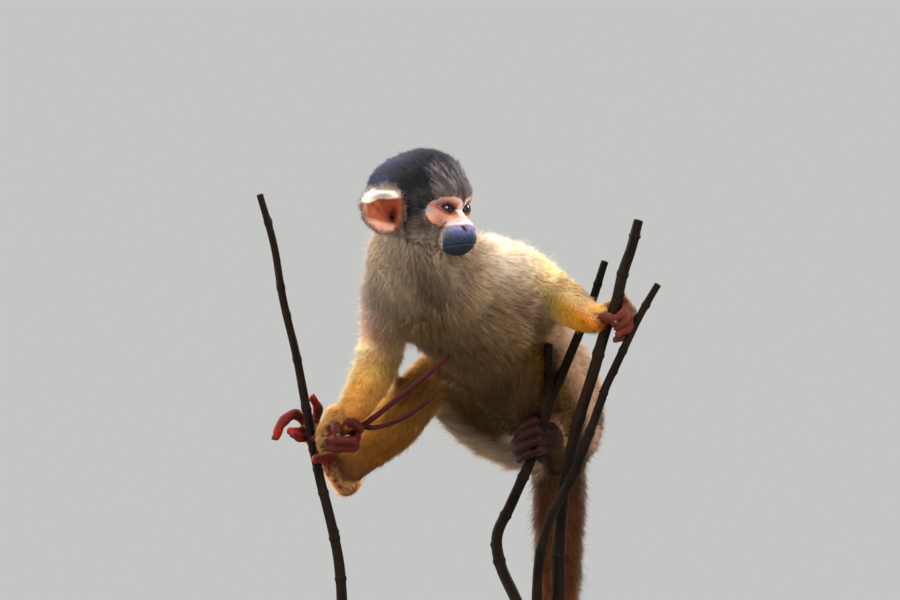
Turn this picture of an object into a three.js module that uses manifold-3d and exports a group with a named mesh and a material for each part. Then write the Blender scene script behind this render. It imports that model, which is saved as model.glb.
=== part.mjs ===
// A life-size display model of a black-capped squirrel monkey (Saimiri boliviensis) that climbs between
// two thin shrubs, held over a flat base by two rods.
// Millimetres, +Z up. The origin is the middle of the underside of the base, X runs along the base and
// the animal's chest and face look towards -Y.
import * as THREE from 'three';
import Module from 'manifold-3d';
import { mergeVertices } from 'three/addons/utils/BufferGeometryUtils.js';

const wasm = await Module();
wasm.setup();

// ---------------------------------------------------------------- driving sizes, in millimetres
const GAP = 0.3; // clear space between neighbouring pieces
const RING_STEP = 12; // distance between the rings of a body or limb
const LIMB_SIDES = 12;
const DIGIT_SIDES = 6;
const DIGIT_STEP = 6.5;
const STEM_SIDES = 8;
const STEM_STEP = 18;
const WELDS = [0.05, 0.03, 0.015, 0.006, 0.003]; // points of a cut piece that lie this close become one

// The turn is in degrees from -Y towards +X.
const HEAD = { centre: [-30, -75, 545.5], turn: 48, detail: 8, cutterDetail: 3 };
const EYE = { x: 7.3, y: 20.9, z: -11, radius: 6.2, width: 11.4, height: 7.6, splay: 0.14 };
const EAR = { x: 29, y: -5.5, z: -10.5, wide: 12.8, tall: 13.8, cup: 8, wall: 1.5 };
const LIP_DEPTH = 1.3;
const BASE = { width: 272, depth: 240, height: 16, edge: 6 };
const ROD_RADIUS = 4;

// ---------------------------------------------------------------- solids from surfaces
function solidFrom(geometry) {
  const bare = geometry.clone();
  bare.deleteAttribute('normal');
  bare.deleteAttribute('uv');
  const merged = mergeVertices(bare, 1e-4);
  const triVerts = new Uint32Array(merged.index.array);
  const mesh = new wasm.Mesh({ numProp: 3, vertProperties: merged.attributes.position.array, triVerts });
  const solid = new wasm.Manifold(mesh);
  if (solid.volume() > 0) return solid;
  for (let i = 0; i < triVerts.length; i += 3) {
    [triVerts[i + 1], triVerts[i + 2]] = [triVerts[i + 2], triVerts[i + 1]];
  }
  return new wasm.Manifold(new wasm.Mesh({ ...mesh, triVerts }));
}

function surface(points, faces) {
  const geometry = new THREE.BufferGeometry();
  geometry.setAttribute('position', new THREE.Float32BufferAttribute(points.flat(), 3));
  geometry.setIndex(faces.flat());
  return solidFrom(geometry);
}

// The biggest closed surface of a solid, without loose scraps or sealed hollows.
function largest(solid) {
  const pieces = solid.decompose();
  return pieces.reduce((best, piece) => (piece.volume() > best.volume() ? piece : best));
}

function geometryOf(solid) {
  const { vertProperties, triVerts, numProp } = solid.getMesh();
  const geometry = new THREE.BufferGeometry();
  geometry.setAttribute('position', new THREE.BufferAttribute(vertProperties, numProp));
  return geometry.setIndex(new THREE.BufferAttribute(triVerts, 1));
}

// Joins points that share a cell of a grid, on two grids half a cell apart, and drops the faces that
// close up, so that a cut leaves no slivers. A grid that would open the surface gives way to a finer one.
function welded(solid) {
  for (const cell of WELDS) {
    let geometry = geometryOf(solid);
    for (const shift of [cell / 2, -cell / 2]) {
      geometry = mergeVertices(geometry.translate(shift, shift, shift), cell);
    }
    const index = Array.from(geometry.index.array);
    const faces = [];
    const edges = new Set();
    for (let i = 0; i < index.length; i += 3) {
      const [a, b, c] = index.slice(i, i + 3);
      if (a === b || b === c || c === a) continue;
      faces.push(a, b, c);
      for (const edge of [[a, b], [b, c], [c, a]]) edges.add(edge.join());
    }
    if (edges.size < faces.length) continue; // an edge that four faces share
    try {
      const clean = new wasm.Manifold(new wasm.Mesh({
        numProp: 3, vertProperties: geometry.attributes.position.array, triVerts: new Uint32Array(faces),
      }));
      if (clean.decompose().length === 1) return clean;
    } catch {
      continue;
    }
  }
  return solid;
}

// Rings of points joined into a closed skin, with a pole at each end.
function skinOver(rings, firstPole, lastPole) {
  const sides = rings[0].length;
  const points = [firstPole, ...rings.flat(), lastPole];
  const at = (ring, side) => 1 + ring * sides + (side % sides);
  const faces = [];
  for (let side = 0; side < sides; side++) {
    faces.push([0, at(0, side + 1), at(0, side)]);
    for (let ring = 0; ring < rings.length - 1; ring++) {
      const [a, b, c, d] = [at(ring, side), at(ring, side + 1), at(ring + 1, side), at(ring + 1, side + 1)];
      faces.push([a, b, d], [a, d, c]);
    }
    faces.push([points.length - 1, at(rings.length - 1, side), at(rings.length - 1, side + 1)]);
  }
  return surface(points, faces);
}

// ---------------------------------------------------------------- lofts along a bent centreline
// A station is [x, y, z, half width, half depth]; half depth defaults to the half width.
const mix = (a, b, t) => a + (b - a) * t;

const LOFT = { grow: 0, sides: LIMB_SIDES, step: RING_STEP, across: [[1, 0, 0]], bulge: 0.75 };

function loft(stations, options = {}) {
  const { grow, sides, step, across, bulge } = { ...LOFT, ...options };
  const places = stations.map(([x, y, z]) => new THREE.Vector3(x, y, z));
  const radii = stations.map((station) => [station[3], station[4] ?? station[3]]);
  const curve = new THREE.CatmullRomCurve3(places, false, 'centripetal');
  const last = stations.length - 1;
  const rings = [];
  const ring = (t, shrink, shift) => {
    const span = Math.min(Math.floor(t * last), last - 1);
    const part = t * last - span;
    const along = curve.getTangent(t);
    const from = new THREE.Vector3(...across[0]);
    const side = from.lerp(new THREE.Vector3(...across[across.length - 1]), t);
    side.addScaledVector(along, -side.dot(along)).normalize();
    const up = new THREE.Vector3().crossVectors(along, side);
    const wide = mix(radii[span][0], radii[span + 1][0], part) + grow;
    const deep = mix(radii[span][1], radii[span + 1][1], part) + grow;
    const centre = curve.getPoint(t).addScaledVector(along, shift * Math.min(wide, deep));
    const points = [];
    for (let k = 0; k < sides; k++) {
      const angle = (2 * Math.PI * k) / sides;
      const point = centre.clone();
      point.addScaledVector(side, Math.cos(angle) * wide * shrink);
      point.addScaledVector(up, Math.sin(angle) * deep * shrink);
      points.push(point.toArray());
    }
    return { points, centre: centre.toArray() };
  };
  const roundings = (sides > DIGIT_SIDES ? [60, 30] : [50]).map((degrees) => (degrees * Math.PI) / 180);
  for (const angle of roundings) rings.push(ring(0, Math.cos(angle), -bulge * Math.sin(angle)).points);
  for (let span = 0; span < last; span++) {
    const count = Math.max(1, Math.round(places[span].distanceTo(places[span + 1]) / step));
    for (let k = 0; k < count; k++) rings.push(ring((span + k / count) / last, 1, 0).points);
  }
  rings.push(ring(1, 1, 0).points);
  roundings.reverse();
  for (const angle of roundings) rings.push(ring(1, Math.cos(angle), bulge * Math.sin(angle)).points);
  return skinOver(rings, ring(0, 0, -bulge).centre, ring(1, 0, bulge).centre);
}

const DIGIT = { sides: DIGIT_SIDES, step: DIGIT_STEP, bulge: 0.9 };
// A digit's rings keep a corner on the axis that its own bend turns about.
function digit(stations, grow) {
  const [root, knuckle, ...rest] = stations.map(([x, y, z]) => new THREE.Vector3(x, y, z));
  const tip = rest[rest.length - 1].sub(root);
  const axis = new THREE.Vector3().crossVectors(knuckle.sub(root), tip).normalize();
  return loft(stations, { ...DIGIT, grow, across: [axis.toArray()] });
}
const stem = (stations, grow) => loft(stations, { grow, sides: STEM_SIDES, step: STEM_STEP, bulge: 0.3 });
const joined = (solids) => solids.reduce((all, one) => all.add(one));

// The part of a solid on the side of a plane that the normal points to, kept GAP / 2 away from it.
function keepSide(solid, point, normal) {
  const n = new THREE.Vector3(...normal).normalize();
  return solid.trimByPlane(n.toArray(), n.dot(new THREE.Vector3(...point)) + GAP / 2);
}
const opposite = (normal) => normal.map((value) => -value);

// ---------------------------------------------------------------- head
// The head's own axes: x to its right, y forward, z up, from the middle of the cranium.
const turn = THREE.MathUtils.degToRad(HEAD.turn);
const headPlace = new THREE.Matrix4()
  .makeBasis(
    new THREE.Vector3(-Math.cos(turn), -Math.sin(turn), 0),
    new THREE.Vector3(Math.sin(turn), -Math.cos(turn), 0),
    new THREE.Vector3(0, 0, 1),
  )
  .setPosition(...HEAD.centre);
const toHead = (solid) => solid.transform(headPlace.elements);

const both = (x, y, z, ...sizes) => [-1, 1].map((side) => [side * x, y, z, ...sizes]);
// Soft ellipsoids that run together: centre x, y, z and half sizes along x, y, z.
const HEAD_FORMS = [
  [0, 0.5, 1.5, 23.5, 28.5, 24], // cranium under the cap of fur
  [0, -12, -0.5, 23.5, 25.5, 21.5], // back of the head
  [0, 21, 0, 14, 9, 10], // brow
  [0, 24.2, -9.5, 2.9, 5.6, 10], // bridge of the nose
  ...both(EYE.x, EYE.y, EYE.z, 7.2, 7.1, 6.8), // orbits
  ...both(10.5, 7, -19, 11.5, 13, 12), // cheeks
  [0, 4, -24.5, 14, 17, 9.5], // jaw
  [0, 26.4, -25.6, 8.7, 9.2, 8.7], // muzzle
  [0, 31.6, -21, 4.4, 3.6, 3.2], // nose pad
  [0, 28.6, -27.8, 7.2, 6.8, 4.2], // upper lip
  [0, 25.6, -32.6, 6.4, 6.4, 3.9], // chin
];
const BLEND = 2; // how far the forms run into each other

function headField([x, y, z], grow) {
  let sum = 0;
  for (const [cx, cy, cz, a, b, c] of HEAD_FORMS) {
    const length = Math.hypot((x - cx) / a, (y - cy) / b, (z - cz) / c);
    sum += Math.exp(-((length - 1) * Math.min(a, b, c)) / BLEND);
  }
  return -BLEND * Math.log(sum) - grow;
}

const HEAD_HEART = [0, 6, -9]; // every ray from here leaves the head once
const FACE_DRAW = [0, 0.4, -0.22]; // draws the mesh's points together on the face

function headForm(grow, detail = HEAD.detail, draw = FACE_DRAW) {
  const ball = new THREE.IcosahedronGeometry(1, detail);
  const position = ball.getAttribute('position');
  const cache = new Map();
  for (let i = 0; i < position.count; i++) {
    const ray = new THREE.Vector3().fromBufferAttribute(position, i);
    const key = ray.toArray().map((value) => value.toFixed(5)).join();
    if (!cache.has(key)) {
      ray.add(new THREE.Vector3(...draw)).normalize();
      let [inside, outside] = [5, 60];
      while (outside - inside > 0.01) {
        const middle = (inside + outside) / 2;
        const point = ray.toArray().map((value, axis) => HEAD_HEART[axis] + value * middle);
        if (headField(point, grow) < 0) inside = middle;
        else outside = middle;
      }
      cache.set(key, ray.toArray().map((value, axis) => HEAD_HEART[axis] + value * inside));
    }
    position.setXYZ(i, ...cache.get(key));
  }
  return solidFrom(ball);
}

function eyeBall(side, grow) {
  const ball = new THREE.IcosahedronGeometry(EYE.radius + grow, 2);
  ball.translate(side * EYE.x, EYE.y, EYE.z);
  return solidFrom(ball);
}

// The almond opening between the lids, as a bar along the line of sight.
function lidOpening(side) {
  const [w, h] = [EYE.width / 2, EYE.height / 2];
  const almond = new THREE.Shape();
  almond.moveTo(-w, -0.1 * h);
  almond.bezierCurveTo(-0.6 * w, 1.15 * h, 0.6 * w, 1.25 * h, w, 0.1 * h);
  almond.bezierCurveTo(0.6 * w, -1.15 * h, -0.6 * w, -1.25 * h, -w, -0.1 * h);
  const bar = new THREE.ExtrudeGeometry(almond, { depth: 16, bevelEnabled: false, curveSegments: 7 });
  const look = new THREE.Vector3(side * EYE.splay, 1, 0).normalize();
  const up = new THREE.Vector3(0, 0, 1);
  const out = new THREE.Vector3().crossVectors(up, look);
  bar.scale(side, 1, 1);
  bar.applyMatrix4(new THREE.Matrix4().makeBasis(out, up, look));
  bar.translate(side * EYE.x, EYE.y, EYE.z);
  return solidFrom(bar);
}

// A thin sheet where the lips meet, kept outside the flesh behind them.
function mouthLine() {
  const lips = new THREE.CylinderGeometry(17, 17, 0.7, 28);
  lips.rotateX(Math.PI / 2);
  lips.rotateX(THREE.MathUtils.degToRad(6));
  lips.translate(0, 26, -31.2);
  return solidFrom(lips).subtract(headForm(-LIP_DEPTH, 6));
}

function nostril(side) {
  const hole = new THREE.IcosahedronGeometry(1, 1);
  hole.scale(0.8, 2.2, 1.7);
  hole.rotateZ(side * 0.5);
  hole.translate(side * 3, 36, -22.2);
  return solidFrom(hole);
}

function headSolid() {
  let solid = headForm(0);
  for (const side of [-1, 1]) {
    solid = solid.subtract(lidOpening(side)).subtract(nostril(side));
  }
  return solid.subtract(mouthLine());
}

// A cupped ear: two nested bowls joined at the rim. A filled one is level across the rim.
function earForm(side, grow, filled = false) {
  const rows = [0.25, 0.5, 0.75, 0.92, 1];
  const spokes = 18;
  const face = new THREE.Vector3(0.85, 0.5, 0.12).normalize();
  const up = new THREE.Vector3(0, 0, 1).addScaledVector(face, -face.z).normalize();
  const back = new THREE.Vector3().crossVectors(face, up).negate();
  const place = (row, spoke, sink, cup = EAR.cup) => {
    const angle = (2 * Math.PI * spoke) / spokes;
    const notch = 1 - 0.14 * Math.max(0, Math.cos(angle - Math.PI)) ** 2;
    const point = new THREE.Vector3(EAR.x, EAR.y, EAR.z);
    point.addScaledVector(back, Math.cos(angle) * (EAR.wide + grow) * row * notch);
    point.addScaledVector(up, Math.sin(angle) * (EAR.tall + grow) * row);
    point.addScaledVector(face, -cup * (1 - row ** 2.4) - sink);
    return [side * point.x, point.y, point.z];
  };
  const numbers = Array.from({ length: spokes }, (_, spoke) => spoke);
  const ringOf = (row, sink, cup) => numbers.map((spoke) => place(row, spoke, sink, cup));
  const innerCup = filled ? 0 : EAR.cup;
  const inner = rows.map((row) => ringOf(row, -grow, innerCup));
  const outer = rows.map((row) => ringOf(row === 1 ? 0.97 : row, EAR.wall + grow)).reverse();
  return skinOver([...inner, ...outer], place(0, 0, -grow, innerCup), place(0, 0, EAR.wall + grow));
}

// ---------------------------------------------------------------- trunk
const SHOULDER_LINE = [0.99, 0, 0.15];
const HIP_LINE = [0.903, -0.329, 0.276];
const TRUNK = [
  [-27.5, -67, 504, 26, 26],
  [-21, -57, 491, 35, 36],
  [-3, -32, 476, 37, 38],
  [18, 1, 460, 36, 37],
  [35, 31, 440, 35, 36],
  [47.5, 53, 419, 34, 34],
  [54, 67, 401, 26, 26],
];
const WAIST = { at: [18, 1, 460], along: [0.5, 0.71, -0.5] };
const trunk = (grow) => loft(TRUNK, { grow, sides: 18, across: [SHOULDER_LINE, HIP_LINE] });
const chest = (grow) => keepSide(trunk(grow), WAIST.at, opposite(WAIST.along));
const abdomen = (grow) => keepSide(trunk(grow), WAIST.at, WAIST.along);
const neck = (grow) => loft([
  [-35, -60, 530, 25],
  [-33, -62, 514, 33],
  [-28, -62, 500, 34],
], { grow, sides: 15 });

// ---------------------------------------------------------------- tail, in four lengths
const TAIL = [
  [47, 66, 402, 17],
  [51, 74, 384, 19.5],
  [51.5, 77, 366, 19.5],
  [51.5, 78, 330, 17.5],
  [51, 78, 290, 15.5],
  [49, 80, 240, 12.5],
  [52, 83, 185, 11],
  [50, 84, 130, 10.5],
  [45, 82, 85, 11],
  [42, 80, 55, 8.5],
  [41, 79, 36, 2],
];
const TAIL_CUTS = [300, 205, 112];
const tail = (grow) => loft(TAIL, { grow, sides: 12, step: 17 });
function tailLength(index, grow) {
  let solid = tail(grow);
  if (index > 0) solid = keepSide(solid, [0, 0, TAIL_CUTS[index - 1]], [0, 0, -1]);
  if (index < TAIL_CUTS.length) solid = keepSide(solid, [0, 0, TAIL_CUTS[index]], [0, 0, 1]);
  return solid;
}

// ---------------------------------------------------------------- limbs, each bent at one joint
const LIMBS = {
  arm_right: {
    upper: [[-49.5, -61, 493, 18], [-53, -32, 475, 16.5]],
    bend: [-54, -4, 456.5, 15],
    end: [[-61, -30, 437, 14.5], [-73, -54, 417, 10.5], [-77, -56, 412, 9]],
  },
  arm_left: {
    upper: [[4, -60, 505.5, 18], [27, -29, 499, 17]],
    bend: [41.2, -4, 491, 14.5],
    end: [[55, -36, 480.5, 14], [67.6, -63, 471.4, 9.5], [69.5, -65, 470.4, 8.5]],
  },
  leg_right: {
    upper: [[34, 58, 401, 25], [4, 34, 412, 22]],
    bend: [-23, 8, 438, 16.5],
    end: [[-49, -5, 408, 17.5], [-75, -14, 385, 13], [-76.5, -13, 379, 10]],
  },
  leg_left: {
    upper: [[54, 44, 404, 24], [48, 8, 432, 19]],
    bend: [30, -32, 451, 12],
    end: [[30.5, -8, 424, 10.5], [37.5, 16, 399, 9.5], [40.5, 19, 392, 8]],
  },
};

// The upper and lower length of a limb, parted by the plane that halves its bend.
function limbLength(name, lower, grow) {
  const { upper, bend, end } = LIMBS[name];
  const place = (station) => new THREE.Vector3(...station.slice(0, 3));
  const inwards = place(upper[upper.length - 1]).sub(place(bend)).normalize();
  const onwards = place(end[0]).sub(place(bend)).normalize();
  const normal = onwards.sub(inwards).toArray();
  const stations = lower ? [bend, ...end] : [...upper, bend];
  return keepSide(loft(stations, { grow, bulge: 0.9 }), bend, lower ? normal : opposite(normal));
}

// ---------------------------------------------------------------- hands and feet
// Each is a palm or sole with its digits, gripping a stem.
const HANDS = {
  hand_right: [
    [[-79, -56, 414, 8, 8], [-84, -54, 406, 9, 7], [-86, -52, 400, 8, 6]],
    [[-84, -58, 412, 3], [-81, -64, 409, 2.9], [-80.5, -65, 404, 2.6]],
    [[-81, -56, 411, 3.2], [-73, -61, 412, 3], [-67.5, -57, 408, 2.8], [-71, -51, 404, 2.5]],
    [[-88, -58, 402, 3.2], [-80, -64, 401.5, 3], [-70.5, -61, 401, 2.9], [-69, -54, 403, 2.5]],
    [[-88, -56, 397.5, 3.2], [-80, -61, 396.8, 3], [-70.5, -58, 397, 2.8], [-70, -50, 399, 2.5]],
  ],
  hand_left: [
    [[69, -63, 471.5, 8, 7.5], [77, -58, 474, 9.5, 6], [84, -58, 477, 8, 5.5]],
    [[72, -67, 473, 3], [77, -73, 473, 2.9], [80.5, -73, 469.5, 2.4]],
    [[84, -58, 484, 3], [88, -66, 480, 2.9], [84.5, -73, 474, 2.7], [80, -71, 471.5, 2.4]],
    [[87, -58, 480, 3], [90.8, -64, 477, 2.9], [87.5, -72, 470.5, 2.7], [82, -71, 467.5, 2.4]],
    [[88, -57, 476, 3], [91.6, -62, 473, 2.9], [88.5, -70, 466.5, 2.7], [83, -69.5, 463, 2.4]],
    [[86, -56, 471, 2.8], [90, -60, 468, 2.7], [86.5, -65, 462, 2.4], [81.5, -66, 460, 2.1]],
  ],
};
const FEET = {
  foot_right: [
    [[-75.3, -11, 374, 8, 8], [-82, -14, 384, 9, 7.5], [-90, -15, 395, 9, 6], [-96, -17, 406, 8, 5.5]],
    [[-99, -19, 410, 3.2], [-106, -22, 415.5, 3.2], [-114, -28, 410, 3], [-117, -30, 402.5, 2.7]],
    [[-95, -18, 411, 3.2], [-92.5, -20, 418.5, 3], [-95.5, -23, 425, 2.4]],
    [[-100, -20, 406, 3], [-105, -26, 405, 2.9], [-108.5, -31, 406, 2.4]],
    [[-98, -20, 402, 3], [-103, -28, 402, 2.8], [-107, -32, 404, 2.3]],
    [[-83, -17, 392, 3.6], [-87.5, -27, 391, 3.4], [-93.5, -35, 389.5, 2.9]],
  ],
  foot_left: [
    [[48.5, 21, 385, 7.5, 7.5], [46, 17, 392, 8.5, 7.5], [45.5, 8, 400, 8.5, 6], [44.5, 0, 404, 8, 5]],
    [[42, -3, 409, 2.9], [35.5, -11, 411.5, 2.9], [27.5, -11, 407, 2.7], [24.5, -4, 403.5, 2.4]],
    [[43, -3, 404, 2.9], [36, -10.5, 405.5, 2.9], [27, -11, 401.5, 2.7], [23.5, -4, 398, 2.4]],
    [[43.5, -1, 399, 2.9], [36.5, -9, 399.5, 2.9], [27.5, -10, 395.5, 2.7], [24, -3, 392.5, 2.4]],
    [[44, 2, 394, 2.8], [37.5, -6, 393.5, 2.7], [29.5, -7.5, 390.5, 2.5], [26, -1, 388, 2.2]],
    [[46, 8, 394, 3.4], [40, 9, 398, 3.2], [32.5, 5, 398, 2.8]],
  ],
};
function extremity([palm, ...digits], grow) {
  const body = loft(palm, { grow, sides: 9, step: 8 });
  return joined([body, ...digits.map((stations) => digit(stations, grow))]);
}

// ---------------------------------------------------------------- perch and stand
const STEMS = {
  perch_left: [[[-126.4, -31, 544.7, 2], [-117.6, -30, 512.4, 2.2], [-112.9, -29, 483, 2.3],
    [-105.8, -29, 453.6, 2.4], [-100, -29, 424.2, 2.6], [-95.8, -29, 400.7, 2.8], [-92.3, -28, 383, 2.8],
    [-88.2, -28, 365.4, 2.9], [-82.3, -27, 341.9, 3], [-79, -27, 318, 3.1], [-78, -27, 294, 3.2]]],
  perch_twig: [[[-95.8, -31, 401.5, 1.8], [-86.4, -43, 403, 1.8], [-76.4, -50, 405.4, 1.7],
    [-65.9, -53, 409.5, 1.7], [-45.3, -59, 425.4, 1.5], [-26.5, -61, 440.7, 1.4], [-14.7, -61, 450.7, 1.2]],
  [[-65.9, -53, 409.5, 1.6], [-60.6, -54, 408.3, 1.4], [-44.1, -56, 413, 1.3], [-27, -57, 424.2, 1.1]]],
  perch_main: [[[94.7, -67, 528.9, 2.8], [90.6, -66, 513, 3], [85.3, -65, 497.1, 3.2],
    [81.1, -65, 478.9, 3.2], [75.9, -62, 465.9, 3.2], [70, -56, 444.8, 3.3], [60.6, -45, 412.4, 3.4],
    [52.9, -31, 377.2, 3.6], [50.5, -22, 353.6, 3.7], [49.4, -15, 330.1, 3.8], [49.5, -11, 306.6, 3.9],
    [49, -9, 292, 4]]],
  perch_fork: [[[31, -5, 292, 3.4], [23, 3, 308, 3.4], [14.7, 12, 327.2, 3.4], [13.5, 15, 341.9, 3.3],
    [21.2, 9, 360.7, 3.2], [30, 3, 380.1, 3.1], [38.2, -4, 400.7, 3], [44, -16, 421.3, 2.9],
    [51.2, -25, 438.9, 2.7], [60, -34, 460.7, 2.6], [69.4, -42, 484.8, 2.4], [75.9, -45, 505.3, 2.2]],
  [[44, -16, 421.3, 2.8], [43.6, -27, 438.9, 2.8], [43, -37, 456.5, 2.6]]],
  perch_side: [[[105.8, -71, 491.8, 2], [94.1, -68, 471.2, 2.2], [85.8, -65, 453.6, 2.3],
    [77.6, -63, 436, 2.4], [73.5, -61, 425.4, 2.5], [65.9, -55, 403, 2.6], [57, -49, 380.1, 2.7],
    [44.5, -41, 356, 2.8], [38, -30, 331.3, 2.9], [36.5, -22, 306.6, 3], [37, -19, 292, 3.1]]],
};
const perch = (name, grow) => joined(STEMS[name].map((stations) => stem(stations, grow)));

const RODS = {
  stand_rod_left: { at: [-78, -27], top: 304, collar: 8 },
  stand_rod_right: { at: [40, -11], top: 304, collar: 15 },
};
const COLLAR_HEIGHT = 18;
function rod({ at: [x, y], top, collar }) {
  const foot = BASE.height + GAP;
  const profile = [
    [0, foot], [9, foot], [9, foot + 3], [ROD_RADIUS, foot + 8], [ROD_RADIUS, top - COLLAR_HEIGHT - 6],
    [collar, top - COLLAR_HEIGHT], [collar, top], [0, top],
  ].map(([radius, height]) => new THREE.Vector2(radius, height));
  const lathe = new THREE.LatheGeometry(profile, 16);
  lathe.rotateX(Math.PI / 2);
  lathe.translate(x, y, 0);
  return solidFrom(lathe);
}

function base() {
  const [w, d, e] = [BASE.width / 2, BASE.depth / 2, BASE.edge];
  const outline = new THREE.Shape();
  const corners = [[w - e, d - e, 0], [e - w, d - e, 1], [e - w, e - d, 2], [w - e, e - d, 3]];
  for (const [x, y, quarter] of corners) {
    outline.absarc(x, y, e, (quarter * Math.PI) / 2, ((quarter + 1) * Math.PI) / 2);
  }
  const bevel = 1.5;
  const slab = new THREE.ExtrudeGeometry(outline, {
    depth: BASE.height - bevel,
    bevelThickness: bevel,
    bevelSize: bevel,
    bevelOffset: -bevel,
    bevelSegments: 2,
    curveSegments: 4,
  });
  return solidFrom(slab).trimByPlane([0, 0, 1], 0);
}

// ---------------------------------------------------------------- the pieces, in order
// A piece keeps its whole shape where an earlier one hasn't taken the room, so stems come before flesh.
const COLOURS = {
  bark: ['#4a3228', 0.8], twig: ['#6b2c3a', 0.6], cap: ['#3a3c46', 0.9], cream: ['#b9a98c', 0.95],
  olive: ['#8c7a4e', 0.95], gold: ['#c98a34', 0.95], skin: ['#8a4a3c', 0.6], eye: ['#24120a', 0.1],
  ear: ['#c9825c', 0.7], stand: ['#d8d4cc', 0.5], rod: ['#8d9096', 0.35],
};
const model = new THREE.Group();
const placed = [];

function add(name, colour, build, cutter = build) {
  let solid = build(0);
  const box = solid.boundingBox();
  const near = (other) => [0, 1, 2].every((axis) => (
    other.box.min[axis] < box.max[axis] + GAP && other.box.max[axis] > box.min[axis] - GAP));
  for (const other of placed.filter(near)) solid = solid.subtract(other.cutter);
  placed.push({ cutter: cutter(GAP), box });
  const geometry = geometryOf(welded(largest(solid)));
  geometry.computeVertexNormals();
  const [hex, roughness] = COLOURS[colour];
  const material = new THREE.MeshStandardMaterial({ color: hex, roughness, flatShading: true });
  const mesh = new THREE.Mesh(geometry, material);
  mesh.name = name;
  model.add(mesh);
}

for (const name of Object.keys(STEMS)) {
  add(name, name === 'perch_twig' ? 'twig' : 'bark', (grow) => perch(name, grow));
}
add('stand_base', 'stand', base);
for (const [name, sizes] of Object.entries(RODS)) add(name, 'rod', () => rod(sizes));
for (const [name, side] of [['right', 1], ['left', -1]]) {
  add(`eye_${name}`, 'eye', (grow) => toHead(eyeBall(side, grow)));
}
for (const [name, side] of [['right', 1], ['left', -1]]) {
  add(`ear_${name}`, 'ear', () => toHead(earForm(side, 0)), (grow) => toHead(earForm(side, grow, true)));
}
const CUTTER_SLACK = 0.9; // how far the coarse head may lie inside the fine one
const headCutter = (grow) => headForm(grow + CUTTER_SLACK, HEAD.cutterDetail, [0, 0, 0]);
add('head', 'cap', () => toHead(headSolid()), (grow) => toHead(headCutter(grow)));
add('chest', 'cream', chest);
add('abdomen', 'olive', abdomen);
add('neck', 'cream', neck);
['tail_root', 'tail_upper', 'tail_lower', 'tail_tip'].forEach((name, index) => {
  add(name, name === 'tail_tip' ? 'cap' : 'olive', (grow) => tailLength(index, grow));
});
for (const side of ['right', 'left']) {
  add(`forearm_${side}`, 'gold', (grow) => limbLength(`arm_${side}`, true, grow));
  add(`upper_arm_${side}`, 'cream', (grow) => limbLength(`arm_${side}`, false, grow));
  add(`shin_${side}`, 'gold', (grow) => limbLength(`leg_${side}`, true, grow));
  add(`thigh_${side}`, 'cream', (grow) => limbLength(`leg_${side}`, false, grow));
}
for (const [name, pieces] of [...Object.entries(HANDS), ...Object.entries(FEET)]) {
  add(name, 'skin', (grow) => extremity(pieces, grow));
}

export default model;
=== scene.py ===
import bpy
import numpy as np
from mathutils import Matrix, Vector
from mathutils.kdtree import KDTree


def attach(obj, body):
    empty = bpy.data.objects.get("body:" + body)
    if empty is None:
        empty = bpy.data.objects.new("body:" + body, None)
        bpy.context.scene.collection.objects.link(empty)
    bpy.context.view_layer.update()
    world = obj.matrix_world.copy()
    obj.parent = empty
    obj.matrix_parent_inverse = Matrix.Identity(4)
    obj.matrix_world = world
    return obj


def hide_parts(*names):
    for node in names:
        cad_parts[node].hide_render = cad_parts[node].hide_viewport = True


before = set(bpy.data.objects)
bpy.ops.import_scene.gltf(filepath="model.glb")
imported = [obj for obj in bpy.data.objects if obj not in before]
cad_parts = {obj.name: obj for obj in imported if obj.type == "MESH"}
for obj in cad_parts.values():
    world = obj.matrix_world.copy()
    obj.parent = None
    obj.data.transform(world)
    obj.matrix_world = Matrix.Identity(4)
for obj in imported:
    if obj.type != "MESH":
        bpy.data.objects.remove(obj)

MM = 0.001
BODY = "root"
PAINT = "paint"  # the attribute that holds a piece's own colours
rng = np.random.default_rng(20)
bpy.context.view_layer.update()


# ---------------------------------------------------------------- camera
FOCUS = (-14.7, -30.0, 482.9)  # what the camera looks at
CAMERA_DISTANCE = 3000.0
VIEW_WIDTH = 529.0  # width of the view at the focus
SENSOR = 36.0

camera_data = bpy.data.cameras.new("camera")
camera_data.sensor_width = SENSOR
camera_data.lens = SENSOR * CAMERA_DISTANCE / VIEW_WIDTH
camera_data.clip_end = 50
camera = bpy.data.objects.new("camera", camera_data)
camera.location = Vector((FOCUS[0], FOCUS[1] - CAMERA_DISTANCE, FOCUS[2])) * MM
camera.rotation_euler = (np.pi / 2, 0, 0)
bpy.context.scene.collection.objects.link(camera)
bpy.context.scene.camera = camera


# ---------------------------------------------------------------- arithmetic on arrays of points
def unit(vectors):
    """Each vector divided by its own length."""
    return vectors / np.maximum(np.linalg.norm(vectors, axis=-1, keepdims=True), 1e-12)


def ease(value, low, high):
    """0 below low, 1 above high, and 3t squared minus 2t cubed between them."""
    t = np.clip((value - low) / (high - low), 0, 1)
    return t * t * (3 - 2 * t)


def bell(value, middle, width):
    """1 at the middle, falling as a bell curve of that width."""
    return np.exp(-(((value - middle) / width) ** 2))


def flat_to(vectors, normals):
    """The part of each vector that lies in the plane across its normal, made one long."""
    return unit(vectors - (vectors * normals).sum(-1, keepdims=True) * normals)


def rgb(code):
    """A hex colour as linear light, by the sRGB curve."""
    value = np.array([int(code[i : i + 2], 16) for i in (1, 3, 5)]) / 255
    return np.where(value <= 0.04045, value / 12.92, ((value + 0.055) / 1.055) ** 2.4)


def tint(colours, other, share):
    """Colours moved towards another one by a share for each point."""
    return colours + (other - colours) * share[:, None]


def shaded(value, stops):
    """Colours for values, straight from one stop (value, code) to the next."""
    places = [place for place, _ in stops]
    tones = np.array([rgb(code) for _, code in stops])
    return np.column_stack([np.interp(value, places, tones[:, k]) for k in range(3)])


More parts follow.
